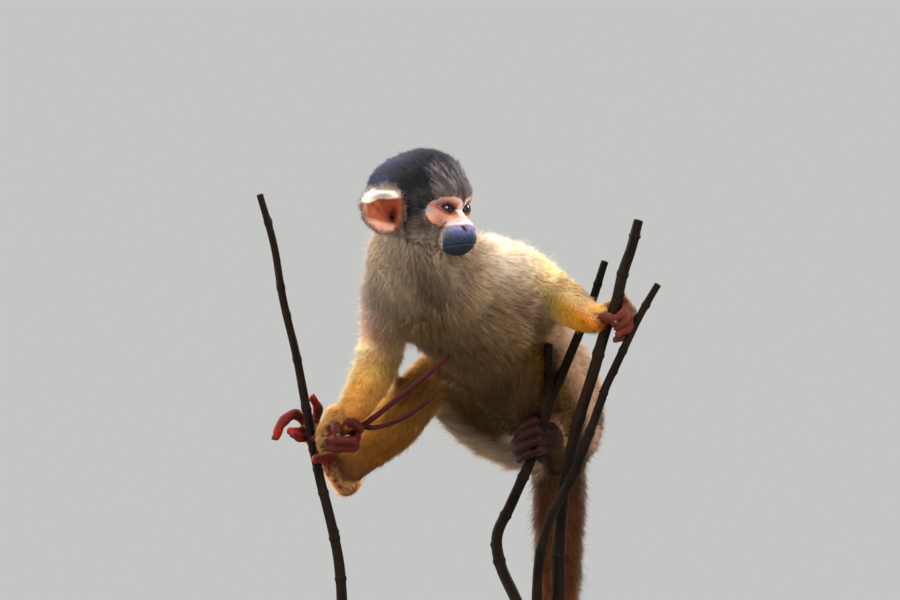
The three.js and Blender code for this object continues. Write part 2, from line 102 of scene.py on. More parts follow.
def noise(points, size, seed=0):
    """Smooth noise from -1 to 1: hashed values at the corners of a cubic lattice, blended by eased
    distance."""
    place = points / size + 500.0
    cell = np.floor(place).astype(np.int64)
    part = place - cell
    part = part * part * (3 - 2 * part)
    total = np.zeros(len(points))
    for corner in np.ndindex(2, 2, 2):
        x, y, z = (cell + corner).T
        code = ((x * 73856093) ^ (y * 19349663) ^ (z * 83492791) ^ (seed * 39916801)) & 0xFFFFFFFF
        code = ((code ^ (code >> 13)) * 1274126177) & 0xFFFFFFFF
        value = ((code ^ (code >> 16)) & 0xFFFF) / 32767.5 - 1
        total += value * np.prod(np.where(corner, part, 1 - part), axis=1)
    return total


# ---------------------------------------------------------------- paths and lofts
def along(stations, count):
    """Points, directions and sizes along a path of stations (x, y, z, sizes...): a centripetal Catmull-Rom
    curve, written as a Hermite cubic in each span, with the sizes eased from station to station."""
    stations = np.asarray(stations, float)
    p = stations[:, :3]
    p = np.vstack([2 * p[0] - p[1], p, 2 * p[-1] - p[-2]])
    knots = np.linspace(0, len(stations) - 1, count)
    span = np.minimum(knots.astype(int), len(stations) - 2)
    t = (knots - span)[:, None]
    p0, p1, p2, p3 = (p[span + k] for k in range(4))
    d0, d1, d2 = (np.sqrt(np.linalg.norm(b - a, axis=1))[:, None] for a, b in ((p0, p1), (p1, p2), (p2, p3)))
    start = ((p1 - p0) / d0 - (p2 - p0) / (d0 + d1) + (p2 - p1) / d1) * d1
    end = ((p2 - p1) / d1 - (p3 - p1) / (d1 + d2) + (p3 - p2) / d2) * d1
    c2 = -3 * p1 + 3 * p2 - 2 * start - end
    c3 = 2 * p1 - 2 * p2 + start + end
    places = p1 + start * t + c2 * t**2 + c3 * t**3
    directions = unit(start + 2 * c2 * t + 3 * c3 * t**2)
    sizes = stations[span, 3:] + (stations[span + 1, 3:] - stations[span, 3:]) * (t * t * (3 - 2 * t))
    return places, directions, sizes


def frames_across(directions, first=(1.0, 0.0, 0.0)):
    """Two axes across a path at each point, carried from one point to the next without turning about it."""
    side = np.empty_like(directions)
    now = np.asarray(first, float)
    for i, direction in enumerate(directions):
        now = now - now.dot(direction) * direction
        now /= np.linalg.norm(now)
        side[i] = now
    return side, np.cross(directions, side)


def grid_faces(rows, columns):
    """The four-sided faces of a grid whose columns run round and close."""
    row, column = np.meshgrid(np.arange(rows - 1), np.arange(columns), indexing="ij")
    following = (column + 1) % columns
    return np.stack([row * columns + column, row * columns + following,
                     (row + 1) * columns + following, (row + 1) * columns + column], -1).reshape(-1, 4)


def halved(faces):
    """Four-sided faces, each cut into two triangles."""
    return np.vstack([faces[:, [0, 1, 2]], faces[:, [0, 2, 3]]])


def tube(stations, sides=16, step=1.0, swell=None, bulge=0.9):
    """A round tube along a path, closed by rounded ends: each ring is the path's point plus its size times
    the cosine and sine of the angle on the two axes across it. Swell gives a factor from length and angle."""
    length = np.linalg.norm(np.diff(np.asarray(stations)[:, :3], axis=0), axis=1).sum()
    count = max(6, int(length / step))
    places, directions, sizes = along(stations, count)
    side, up = frames_across(directions, (0.31, 0.83, 0.46))
    size = sizes[:, 0]
    run = np.linspace(0, length, count)
    cap = np.linspace(0, np.pi / 2, 6)[1:]
    first = [(0, -bulge * size[0] * np.sin(a), np.cos(a)) for a in cap[::-1]]
    last = [(count - 1, bulge * size[-1] * np.sin(a), np.cos(a)) for a in cap]
    rings = first + [(i, 0.0, 1.0) for i in range(count)] + last
    index = np.array([ring[0] for ring in rings])
    shift = np.array([ring[1] for ring in rings])
    shrink = np.array([ring[2] for ring in rings])
    angle = np.linspace(0, 2 * np.pi, sides, endpoint=False)
    radius = (size[index] * shrink)[:, None] * np.ones(sides)
    if swell is not None:
        radius = radius * swell(run[index][:, None], angle[None, :])
    centre = places[index] + directions[index] * shift[:, None]
    ring = side[index, None] * np.cos(angle)[None, :, None] + up[index, None] * np.sin(angle)[None, :, None]
    points = centre[:, None] + ring * radius[..., None]
    return points.reshape(-1, 3), grid_faces(len(rings), sides)


def together(shapes):
    """Several (points, faces) as one."""
    points, faces, start = [], [], 0
    for place, face in shapes:
        points.append(place)
        faces.append(face + start)
        start += len(place)
    return np.vstack(points), np.vstack(faces)


# ---------------------------------------------------------------- meshes and pieces
def mesh_of(name, points, faces):
    """A mesh in metres from points in millimetres and faces of three or four corners each."""
    mesh = bpy.data.meshes.new(name)
    mesh.vertices.add(len(points))
    mesh.vertices.foreach_set("co", (points * MM).astype(np.float32).ravel())
    mesh.loops.add(faces.size)
    mesh.loops.foreach_set("vertex_index", faces.astype(np.int32).ravel())
    mesh.polygons.add(len(faces))
    mesh.polygons.foreach_set("loop_start", np.arange(0, faces.size, faces.shape[1], dtype=np.int32))
    mesh.polygons.foreach_set("use_smooth", np.ones(len(faces), bool))
    mesh.update(calc_edges=True)
    return mesh


def paint(mesh, colours):
    """Colours for each point, kept with the mesh."""
    layer = mesh.attributes.new(PAINT, "FLOAT_COLOR", "POINT")
    inks = np.column_stack([colours, np.ones(len(colours))])
    layer.data.foreach_set("color", inks.astype(np.float32).ravel())


def place(name, mesh, material, slot, replaces=()):
    """A finished piece of the model, on its body."""
    piece = bpy.data.objects.new(name, mesh)
    bpy.context.scene.collection.objects.link(piece)
    mesh.materials.append(material)
    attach(piece, BODY)
    if replaces:
        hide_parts(*replaces)
    return piece


def points_of(mesh):
    """A mesh's points in millimetres."""
    flat = np.empty(len(mesh.vertices) * 3, np.float32)
    mesh.vertices.foreach_get("co", flat)
    return flat.reshape(-1, 3).astype(float) / MM


def faces_of(mesh):
    """A mesh's corners as triangles."""
    mesh.calc_loop_triangles()
    flat = np.empty(len(mesh.loop_triangles) * 3, np.int32)
    mesh.loop_triangles.foreach_get("vertices", flat)
    return flat.reshape(-1, 3)


def normals_of(points, faces):
    """Normals at the points: the sum of the crossed edges of the faces round each one."""
    a, b, c = points[faces[:, 0]], points[faces[:, 1]], points[faces[:, 2]]
    across = np.cross(b - a, c - a)
    total = np.zeros_like(points)
    for corner in range(3):
        for axis in range(3):
            total[:, axis] += np.bincount(faces[:, corner], across[:, axis], len(points))
    return unit(total)


def evened(points, faces, rounds, share=0.5):
    """Points moved by a share towards the mean of their neighbours, several times."""
    pairs = np.vstack([faces[:, [0, 1]], faces[:, [1, 2]], faces[:, [2, 0]]])
    first, second = np.hstack([pairs[:, 0], pairs[:, 1]]), np.hstack([pairs[:, 1], pairs[:, 0]])
    count = np.maximum(np.bincount(first, minlength=len(points)), 1)[:, None]
    for _ in range(rounds):
        total = np.column_stack([np.bincount(first, points[second, axis], len(points)) for axis in range(3)])
        points = points + (total / count - points) * share
    return points


def fused(name, points, faces, voxel):
    """One closed skin round overlapping shapes, by a remesh on small cubes. Its largest surface is kept:
    points that share a face take the least of their numbers until nothing changes."""
    source = bpy.data.objects.new(name, mesh_of(name, points, faces))
    bpy.context.scene.collection.objects.link(source)
    remesh = source.modifiers.new("fuse", "REMESH")
    remesh.mode = "VOXEL"
    remesh.voxel_size = voxel * MM
    evaluated = source.evaluated_get(bpy.context.evaluated_depsgraph_get())
    mesh = bpy.data.meshes.new_from_object(evaluated)
    bpy.data.objects.remove(source)
    points, faces = points_of(mesh), faces_of(mesh)
    bpy.data.meshes.remove(mesh)
    label = np.arange(len(points))
    while True:
        least = label[faces].min(axis=1)
        lower = label.copy()
        for corner in range(3):
            np.minimum.at(lower, faces[:, corner], least)
        lower = lower[lower]
        if (lower == label).all():
            break
        label = lower
    biggest = np.bincount(label[faces[:, 0]]).argmax()
    faces = faces[label[faces[:, 0]] == biggest]
    used, faces = np.unique(faces, return_inverse=True)
    return points[used], faces.reshape(-1, 3)


# ---------------------------------------------------------------- materials
def new_material(name):
    """A node material with its shader, and a helper that adds nodes."""
    material = bpy.data.materials.new(name)
    material.use_nodes = True
    tree = material.node_tree

    def add(kind, **values):
        node = tree.nodes.new(kind)
        for key, value in values.items():
            setattr(node, key, value)
        return node

    return material, tree, tree.nodes["Principled BSDF"], add


def textured(name, colour, patch, roughness, bump_size, bump_depth, *, stretch=(1, 1, 1), patch_size=40.0,
             metallic=0.0, specular=0.5, painted=False, sheen=0.0, subsurface=0.0, coat=0.0, grain=None):
    """A finish with colour patches, uneven roughness and bump, laid over the piece's own colours if it is
    painted. Sizes are waves per metre. Grain is the size, the colour and the reach of its flecks."""
    material, tree, shader, add = new_material(name)
    link = tree.links.new
    where = add("ShaderNodeTexCoord")
    turn = add("ShaderNodeMapping")
    turn.inputs["Scale"].default_value = stretch
    link(where.outputs["Object"], turn.inputs["Vector"])

    def cloud(size, detail):
        """Soft noise on the piece's own coordinates."""
        node = add("ShaderNodeTexNoise")
        node.inputs["Scale"].default_value = size
        node.inputs["Detail"].default_value = detail
        link(turn.outputs["Vector"], node.inputs["Vector"])
        return node.outputs["Fac"]

    def ranged(value, start, end, low, high):
        """A value carried from the range start to end to the range low to high."""
        node = add("ShaderNodeMapRange")
        for socket, number in (("From Min", start), ("From Max", end), ("To Min", low), ("To Max", high)):
            node.inputs[socket].default_value = number
        link(value, node.inputs["Value"])
        return node.outputs["Result"]

    big, small = cloud(patch_size, 5), cloud(bump_size, 6)
    mix = add("ShaderNodeMix", data_type="RGBA")
    mix.inputs["A"].default_value = (*colour, 1)
    mix.inputs["B"].default_value = (*patch, 1)
    link(ranged(big, 0.35, 0.65, 0.0, 1.0), mix.inputs["Factor"])
    result = mix.outputs["Result"]
    if painted:
        ink = add("ShaderNodeVertexColor", layer_name=PAINT)
        shade = add("ShaderNodeMix", data_type="RGBA", blend_type="MULTIPLY")
        shade.inputs["Factor"].default_value = 1.0
        link(ink.outputs["Color"], shade.inputs["A"])
        link(result, shade.inputs["B"])
        result = shade.outputs["Result"]
    if grain:
        size, speck, reach = grain
        fleck = add("ShaderNodeTexVoronoi")
        fleck.inputs["Scale"].default_value = size
        link(turn.outputs["Vector"], fleck.inputs["Vector"])
        dots = add("ShaderNodeMix", data_type="RGBA")
        dots.inputs["B"].default_value = (*speck, 1)
        link(ranged(fleck.outputs["Distance"], 0.05, reach, 1.0, 0.0), dots.inputs["Factor"])
        link(result, dots.inputs["A"])
        result = dots.outputs["Result"]
    link(result, shader.inputs["Base Color"])
    rough = ranged(small, 0.0, 1.0, max(0.02, roughness - 0.1), min(1.0, roughness + 0.12))
    link(rough, shader.inputs["Roughness"])
    bump = add("ShaderNodeBump")
    bump.inputs["Strength"].default_value = 0.8
    bump.inputs["Distance"].default_value = bump_depth * MM
    link(small, bump.inputs["Height"])
    link(bump.outputs["Normal"], shader.inputs["Normal"])
    shader.inputs["Metallic"].default_value = metallic
    shader.inputs["Specular IOR Level"].default_value = specular
    shader.inputs["Sheen Weight"].default_value = sheen
    shader.inputs["Sheen Roughness"].default_value = 0.5
    shader.inputs["Coat Weight"].default_value = coat
    shader.inputs["Coat Roughness"].default_value = 0.1
    if subsurface:
        shader.inputs["Subsurface Weight"].default_value = subsurface
        shader.inputs["Subsurface Radius"].default_value = (1.0, 0.35, 0.2)
        shader.inputs["Subsurface Scale"].default_value = 2 * MM
    return material


WHITE = np.ones(3)
coat_finish = textured("fur", WHITE, WHITE * 0.88, 0.65, 900, 0.05, painted=True, sheen=0.04,
                       specular=0.12, patch_size=120)
skin_finish = textured("skin", WHITE, WHITE * 0.8, 0.56, 1300, 0.25, painted=True, subsurface=0.05,
                       specular=0.12, patch_size=260)
ear_finish = textured("ear_skin", WHITE, WHITE * 0.88, 0.6, 900, 0.15, painted=True, subsurface=0.06,
                      specular=0.14, patch_size=160)
nail_finish = textured("nail", rgb("#1f1413"), rgb("#3a2723"), 0.42, 700, 0.05, specular=0.4)
eye_finish = textured("eye", WHITE, WHITE * 0.9, 0.1, 300, 0.0, painted=True, coat=0.1, specular=0.3)
bark_finish = textured("bark", rgb("#0c0805"), rgb("#20150c"), 0.74, 420, 0.5, stretch=(1, 1, 0.22),
                       patch_size=90, grain=(420, rgb("#46301f"), 0.06), specular=0.07)
twig_finish = textured("twig_bark", rgb("#25080d"), rgb("#421016"), 0.55, 600, 0.25, stretch=(0.4, 1, 0.6),
                       patch_size=110, grain=(600, rgb("#6e3430"), 0.05), specular=0.1)
paint_finish = textured("stand_paint", rgb("#5d554b"), rgb("#544c43"), 0.45, 500, 0.06, patch_size=14)
steel_finish = textured("stand_metal", rgb("#9a9da3"), rgb("#84878d"), 0.3, 300, 0.03, stretch=(1, 1, 0.02),
                        metallic=1.0, patch_size=60)

# ---------------------------------------------------------------- the body's lines
# Stations are x, y, z and half width of the animal's lengths, coat included, from the head end outwards.
NECK = [[-35, -60, 532, 25], [-33, -62, 514, 33], [-28, -62, 500, 34]]
TRUNK = [[-27.5, -67, 504, 26], [-21, -57, 491, 35], [-3, -32, 476, 37], [18, 1, 460, 36], [35, 31, 440, 35],
         [47.5, 53, 419, 34], [54, 67, 401, 26]]
TAIL = [[47, 66, 402, 17], [51, 74, 384, 19.5], [51.5, 77, 366, 19.5], [51.5, 78, 330, 17.5],
        [51, 78, 290, 15.5], [49, 80, 240, 12.5], [52, 83, 185, 11], [50, 84, 130, 10.5], [45, 82, 85, 11],
        [42, 80, 55, 8.5], [41, 79, 36, 2]]
ARM_RIGHT = [[-49.5, -61, 493, 18], [-53, -32, 475, 16.5], [-54, -4, 456.5, 15], [-61, -30, 437, 14.5],
             [-73, -54, 417, 10.5], [-77, -56, 412, 9]]
ARM_LEFT = [[4, -60, 505.5, 18], [27, -29, 499, 17], [41.2, -4, 491, 14.5], [55, -36, 480.5, 14],
            [67.6, -63, 471.4, 9.5], [69.5, -65, 470.4, 8.5]]
LEG_RIGHT = [[34, 58, 401, 25], [4, 34, 412, 22], [-23, 8, 438, 16.5], [-49, -5, 408, 17.5],
             [-75, -14, 385, 13], [-76.5, -13, 379, 10]]
LEG_LEFT = [[54, 44, 404, 24], [48, 8, 432, 19], [30, -32, 451, 12], [30.5, -8, 424, 10.5],
            [37.5, 16, 399, 9.5], [40.5, 19, 392, 8]]


class Length:
    """One length of the body: its path, how deep and how long its coat is, and its colours, set out along it
    or along an axis of space."""

    def __init__(self, stations, depth, hair, colours, axis=None):
        self.centre, self.direction, size = along(stations, 90)
        self.radius = size[:, 0]
        self.side, self.up = frames_across(self.direction, (0.97, 0.1, 0.2))
        run = np.hstack([0, np.cumsum(np.linalg.norm(np.diff(self.centre, axis=0), axis=1))])
        self.part = run / run[-1]
        self.depth = np.interp(self.part, *zip(*depth))
        self.hair = np.interp(self.part, *zip(*hair))
        self.colours = colours
        self.axis = axis

    def colour_at(self, points, at):
        """The colours of points whose nearest stations are given."""
        return shaded(self.part[at] if self.axis is None else points[:, self.axis], self.colours)


ACROSS, UPWARD = 0, 2  # the axes along which the arms' colours are set out
ON_NECK, ON_TRUNK, ON_TAIL, ON_ARM_RIGHT, ON_ARM_LEFT, ON_LEG_RIGHT, ON_LEG_LEFT = range(7)
LENGTHS = [
    Length(NECK, [(0, 4), (1, 6)], [(0, 10), (1, 15)], [(0, "#c8b5a8"), (1, "#ccb19a")]),
    # the trunk darkens towards the belly and the rump, partly as painted shade
    Length(TRUNK, [(0, 6), (0.4, 5), (1, 5)], [(0, 16), (0.4, 13), (1, 12)],
           [(0, "#caa883"), (0.26, "#a27e4c"), (0.5, "#7d5822"), (1, "#4a3014")]),
    Length(TAIL, [(0, 5), (0.2, 6), (0.8, 5), (1, 1)], [(0, 12), (0.1, 15), (1, 14)],
           [(0, "#674020"), (0.3, "#8c4f28"), (0.72, "#5d3428"), (0.8, "#131013"), (1, "#0d0b0d")]),
    Length(ARM_RIGHT, [(0, 5), (0.5, 3.6), (1, 1.2)], [(0, 13), (0.5, 9), (1, 6)],
           [(413, "#f69a44"), (424, "#eca450"), (434, "#f0b056"), (443, "#fcc672"), (451, "#fac98a"),
            (459, "#ecc094"), (468, "#d3b09b"), (490, "#a3938a")], UPWARD),
    Length(ARM_LEFT, [(0, 5), (0.5, 3.6), (1, 1.2)], [(0, 13), (0.5, 9), (1, 6)],
           [(8, "#eed9c2"), (30, "#f5dab8"), (42, "#ffd894"), (50, "#ffbc4c"), (58, "#ffae34"),
            (65, "#f39228"), (72, "#d87824")], ACROSS),
    # the right leg's shin and ankle are darker, partly as painted shade
    Length(LEG_RIGHT, [(0, 5), (0.45, 4), (1, 1.4)], [(0, 13), (0.45, 10), (1, 6)],
           [(0, "#6a5030"), (0.3, "#6c4e26"), (0.46, "#b08650"), (0.62, "#a8763a"), (0.8, "#b07228"),
            (0.92, "#9c6028"), (1, "#6c3c16")]),
    # the left leg, behind the stems, is darker than the right as painted shade, most of all towards the foot
    Length(LEG_LEFT, [(0, 5), (0.45, 3.5), (1, 1.4)], [(0, 12), (0.45, 9), (1, 6)],
           [(0, "#7c5638"), (0.3, "#86602e"), (0.48, "#7d5620"), (0.75, "#5c3812"), (1, "#3e200c")]),
]
BLOCK = 20000  # points measured at a time
JOIN = 3.5  # over how far one length's coat runs into the next one's


def body_facts(points):
    """For each point: which length it lies on, where along it, the angle round it, and the coat's depth,
    length, colour and lie there. Nearness counts each centre's distance less its radius; values are blended
    between lengths by weights that fall as the exponential of that nearness."""
    near = np.full(len(points), 1e9)
    owner, part, angle = np.zeros(len(points), int), np.zeros(len(points)), np.zeros(len(points))
    depth, hair, colour, lie = (np.zeros((len(points), k)) for k in (1, 1, 3, 3))
    weights = np.zeros((len(points), 1))
    for number, length in enumerate(LENGTHS):
        gap = np.empty(len(points))
        at = np.empty(len(points), int)
        for start in range(0, len(points), BLOCK):
            some = slice(start, start + BLOCK)
            reach = np.linalg.norm(points[some, None] - length.centre[None], axis=2) - length.radius
            at[some] = reach.argmin(axis=1)
            gap[some] = reach.min(axis=1)
        closer = gap < near
        near = np.where(closer, gap, near)
        owner = np.where(closer, number, owner)
        part = np.where(closer, length.part[at], part)
        away = points - length.centre[at]
        turn = np.arctan2((away * length.up[at]).sum(1), (away * length.side[at]).sum(1))
        angle = np.where(closer, turn, angle)
        share = np.exp(-np.maximum(gap, -8) / JOIN)[:, None]
        weights += share
        depth += share * length.depth[at][:, None]
        hair += share * length.hair[at][:, None]
        colour += share * length.colour_at(points, at)
        lie += share * length.direction[at]
    return {"owner": owner, "part": part, "angle": angle, "depth": (depth / weights)[:, 0],
            "hair": (hair / weights)[:, 0], "colour": colour / weights, "lie": lie}


# ---------------------------------------------------------------- head
HEAD_CENTRE = np.array([-30.0, -75.0, 545.5])
HEAD_TURN = np.radians(48)
HEAD_AXES = np.array([[-np.cos(HEAD_TURN), -np.sin(HEAD_TURN), 0], [np.sin(HEAD_TURN), -np.cos(HEAD_TURN), 0],
                      [0, 0, 1]])
HEAD_HEART = np.array([0.0, 6.0, -9.0])
EYE = {"x": 7.3, "y": 20.9, "z": -11.0, "radius": 6.2, "splay": 0.14}
MOUTH = {"y": 26.0, "z": -31.2, "slope": np.tan(np.radians(6))}
BLEND = 2.0


def both(x, *rest):
    """The same form on the left and on the right."""
    return [[-x, *rest], [x, *rest]]


HEAD_FORMS = np.array([
    [0, 0.5, 1.5, 23.5, 28.5, 24],  # cranium
    [0, -12, -0.5, 23.5, 25.5, 21.5],  # back of the head
    [0, 21, 0, 14, 9, 10],  # brow
    [0, 24.2, -9.5, 2.9, 5.6, 10],  # bridge of the nose
    *both(EYE["x"], EYE["y"], EYE["z"], 7.2, 7.1, 6.8),  # orbits
    *both(10.5, 7, -19, 11.5, 13, 12),  # cheeks
    [0, 4, -24.5, 14, 17, 9.5],  # jaw
    [0, 26.4, -25.6, 8.7, 9.2, 8.7],  # muzzle
    [0, 31.6, -21, 4.4, 3.6, 3.2],  # nose pad
    [0, 28.6, -27.8, 7.2, 6.8, 4.2],  # upper lip
    [0, 25.6, -32.6, 6.4, 6.4, 3.9],  # chin
], float)


def head_field(points):
    """Distance outside the head: ellipsoids that run together, minus BLEND times the log of the summed
    exponentials of their own distances."""
    total = np.zeros(len(points))
    for form in HEAD_FORMS:
        length = np.linalg.norm((points - form[:3]) / form[3:], axis=1)
        total += np.exp(-((length - 1) * form[3:].min()) / BLEND)
    return -BLEND * np.log(np.maximum(total, 1e-300))


def rays_of(turn, rise):
    """Directions that turn about the upward axis, from straight ahead, and rise above the level."""
    rays = np.stack([np.sin(turn) * np.cos(rise), np.cos(turn) * np.cos(rise), np.sin(rise)], -1)
    return rays.reshape(-1, 3)


def head_reach(rays):
    """How far each ray from the heart of the head runs before it leaves the head, by halving an interval."""
    low, high = np.full(len(rays), 5.0), np.full(len(rays), 60.0)
    for _ in range(16):
        middle = (low + high) / 2
        inside = head_field(HEAD_HEART + rays * middle[:, None]) < 0
        low, high = np.where(inside, middle, low), np.where(inside, high, middle)
    return low


def to_head(points):
    """From the part's frame to the head's axes."""
    return (points - HEAD_CENTRE) @ HEAD_AXES.T


def from_head(points):
    """From the head's axes to the part's frame."""
    return points @ HEAD_AXES + HEAD_CENTRE


def eye_axes(side):
    """The eye's middle, its line of sight, and the directions out to the side and up."""
    look = unit(np.array([side * EYE["splay"], 1, 0]))
    up = np.array([0.0, 0.0, 1.0])
    return np.array([side * EYE["x"], EYE["y"], EYE["z"]]), look, np.cross(look, up) * side, up


LID = {"half_width": 4.2, "half_height": 2.45, "tilt": 0.14, "pointed": 1.6, "inward": 0.25, "raised": 1.2}
GAZE_RISE = 0.17  # how far the line of sight climbs, for each unit ahead


def lid_measure(points, side):
    """How far a point lies out from the middle of the almond between the lids: 1 at its edge, a rounded
    diamond of that half width and half height, slanting up to the outer corner."""
    middle, look, out, up = eye_axes(side)
    away = points - middle
    across = (away @ out + LID["inward"]) / LID["half_width"]
    height = (away @ up - LID["raised"] - LID["tilt"] * (away @ out)) / LID["half_height"]
    power = LID["pointed"]
    ring = (np.abs(across) ** power + np.abs(height) ** power) ** (1 / power)
    return np.hypot(ring, np.maximum(-(away @ look), 0) / 4), across, height


EAR = {"x": 29.0, "y": -5.5, "z": -10.5, "wide": 12.8, "tall": 13.8, "cup": 7.0, "wall": 1.3}


def ear_axes(side):
    """The ear's middle, the way it faces, its upward axis and the axis to its front edge."""
    face = unit(np.array([0.85, 0.5, 0.12]))
    up = unit(np.array([0, 0, 1]) - face * face[2])
    front = -np.cross(face, up)
    mirror = np.array([side, 1, 1])
    return np.array([EAR["x"], EAR["y"], EAR["z"]]) * mirror, face * mirror, up * mirror, front * mirror


def ear_outline(turn):
    """How far the rim lies from the middle against an ellipse: corners at the upper back and both ends of the
    front edge, and less below the back."""
    turn = np.mod(turn, 2 * np.pi)
    corners = 0.07 * bell(turn, 2.64, 0.35) + 0.07 * bell(turn, 0.75, 0.4) + 0.08 * bell(turn, 5.5, 0.45)
    return (1 + corners - 0.04 * bell(turn, 1.7, 0.4) - 0.1 * bell(turn, 4.0, 0.6)
            - 0.03 * bell(turn, 3.3, 0.3))


def ear_sink(row, turn, ahead, height):
    """How deep the cup lies behind its rim: one minus a power of the row, with the hollow of the canal and
    two slanting folds as bell curves, and a rolled band along the top as a raised parabola."""
    turn = np.mod(turn, 2 * np.pi)
    sink = EAR["cup"] * (1 - np.clip(row, 0, 1) ** (1.5 + 0.8 * bell(turn, 1.8, 1.2)))
    sink = sink - 1.5 * bell(0.75 * ahead + 0.66 * height, -1.2, 1.4) * (1 - ease(row, 0.55, 0.8))
    sink = sink - 1.0 * bell(0.9 * ahead - 0.43 * height, -4.8, 1.3) * (1 - ease(row, 0.6, 0.85))
    sink = sink - 2.2 * bell(ahead, 9.0, 2.2) * bell(height, -4.5, 2.6)
    canal = 3.4 * np.exp(-(((ahead - 5.0) / 1.9) ** 2 + ((height + 3.0) / 3.2) ** 2))
    sink = sink + canal
    band = ease(row, 0.56, 0.7) * bell(turn, 1.8, 1.0)
    sink = sink * (1 - band) + band * (1.5 * ((row - 0.84) / 0.16) ** 2 - 1.0)
    return sink, canal


def ear_place(points, side):
    """Where points lie against an ear: the row from its middle to its rim, their height over the rim's
    plane, and how deep the cup is there."""
    middle, face, up, front = ear_axes(side)
    away = points - middle
    ahead, height = away @ front, away @ up
    turn = np.arctan2(height / EAR["tall"], ahead / EAR["wide"])
    row = np.hypot(height / EAR["tall"], ahead / EAR["wide"]) / ear_outline(turn)
    return row, away @ face, ear_sink(row, turn, ahead, height)[0]


def coat_depth_of_head(p):
    """How deep the coat is: thin on the face and muzzle, thicker over the crown, cheeks and nape."""
    x, y, z = p.T
    crown = ease(z + 0.35 * (20 - y), -2, 10)
    cheek = ease(-y, -21, -6) * ease(-z, 8, 19)
    return 0.35 + 2.2 * crown + 2.8 * cheek


def nostril(x, y, z, side):
    """1 along a nostril's slanting slit, falling as bell curves across it and towards its ends."""
    slit = bell(x - side * (4.2 + 0.5 * (z + 21.6)), 0, 0.85) * bell(z, -21.6, 1.4)
    return slit * ease(y, 30, 32)


def snout_measure(p):
    """How far a point lies out of the dark muzzle: 1 at the edge of its skin, an egg that leans back and
    reaches further down below the mouth."""
    across, ahead, height = (p - [0, 29.8, -27.2]).T
    low = ease(-p[:, 2], 26, 36)
    return np.sqrt((across / (11.8 - low)) ** 2 + ((ahead + 3.4 * low) / 10.8) ** 2
                   + (height / (9.6 + 2.2 * low)) ** 2)


HEAD_GRID = (288, 200)  # columns and rows of the head's skin


def head_skin():
    """The head as a grid over the sphere of directions from its heart, drawn together on the face. The lids,
    nostrils, lips and folds are added as bell-shaped ridges and grooves along the same rays."""
    columns, rows = HEAD_GRID
    even = np.linspace(-np.pi, np.pi, columns, endpoint=False)
    turn = even - 0.5 * np.sin(even)
    rise = np.linspace(-np.pi / 2 + 1e-4, np.pi / 2 - 1e-4, rows)
    rise = rise - 0.22 * np.sin(2 * (rise + 0.45)) * np.cos(rise)
    turn, rise = np.meshgrid(turn, rise)
    rays = unit(rays_of(turn, rise))
    reach = head_reach(rays)
    skin = HEAD_HEART + rays * reach[:, None]
    reach -= coat_depth_of_head(skin)
    skin = HEAD_HEART + rays * reach[:, None]
    x, y, z = skin.T
    # mouth: the groove where the lips meet, and the fuller rims above and below it
    line = z - (MOUTH["z"] + MOUTH["slope"] * (y - MOUTH["y"])) + 0.5 * ease(np.abs(x), 2, 9)
    front = ease(y, 14, 19)
    lips = front * (-0.75 * bell(line, 0, 0.32) + 0.2 * bell(line, 0.95, 0.6)
                    + 0.34 * bell(line, -1.0, 0.65))
    # nose: wings round the nostrils, the slits themselves, and the groove between them
    for side in (-1, 1):
        wing = bell(x, side * 4.6, 1.5) * bell(z, -20.9, 1.8) * bell(y, 33.0, 2.6)
        lips += 0.8 * wing - 1.8 * nostril(x, y, z, side)
    lips -= 0.35 * bell(x, 0, 0.5) * bell(z, -22.5, 4.0) * ease(y, 32, 34)
    lips -= 0.4 * bell(np.abs(x) - 0.5 * (z + 26), 4.4, 0.7) * bell(z, -24.5, 1.8) * ease(y, 28, 31)
    # folds of the muzzle's edge, the bridge of the nose and the whisker pads
    lips += 0.4 * bell(np.abs(x), 5.4, 2.2) * bell(z, -26.0, 2.4) * ease(y, 26, 30)
    lips -= 1.5 * bell(snout_measure(skin), 1.17, 0.1) * ease(-z, 15, 20)
    lips += 0.16 * noise(skin, 1.5, 31) * ease(y, 17, 20) * ease(-z, 18, 21)
    skin = skin + rays * lips[:, None]
    for side in (-1, 1):
        ring, across, height = lid_measure(skin, side)
        middle, look, out, up = eye_axes(side)
        away = skin - middle
        far = np.linalg.norm(away, axis=1)
        hug = 1 - ease(ring, 1.6, 2.5)
        least = EYE["radius"] + 0.5 + 0.35 * bell(ring, 1.2, 0.18)
        far = np.where(ring < 2.5, far + (least - far) * hug, far)
        far -= 0.45 * bell(ring, 1.8, 0.16) * (0.35 + 0.65 * ease(height, -0.2, 0.5))
        far = np.where(ring < 1.1, far + (EYE["radius"] - 1.4 - far) * (1 - ease(ring, 0.8, 1.06)), far)
        keep = ring < 3.2
        skin = np.where(keep[:, None], middle + unit(away) * far[:, None], skin)
    # the head gives way under each ear, so that its skin stays within the ear's wall
    for side in (-1, 1):
        row, level, sink = ear_place(skin, side)
        drop = np.minimum(-(sink + 0.7) - level, 0) * (1 - ease(row, 0.93, 1.02)) * (level > -22)
        skin = skin + ear_axes(side)[1] * drop[:, None]
    return skin, grid_faces(rows, columns)[:, ::-1], turn.ravel(), rise.ravel()


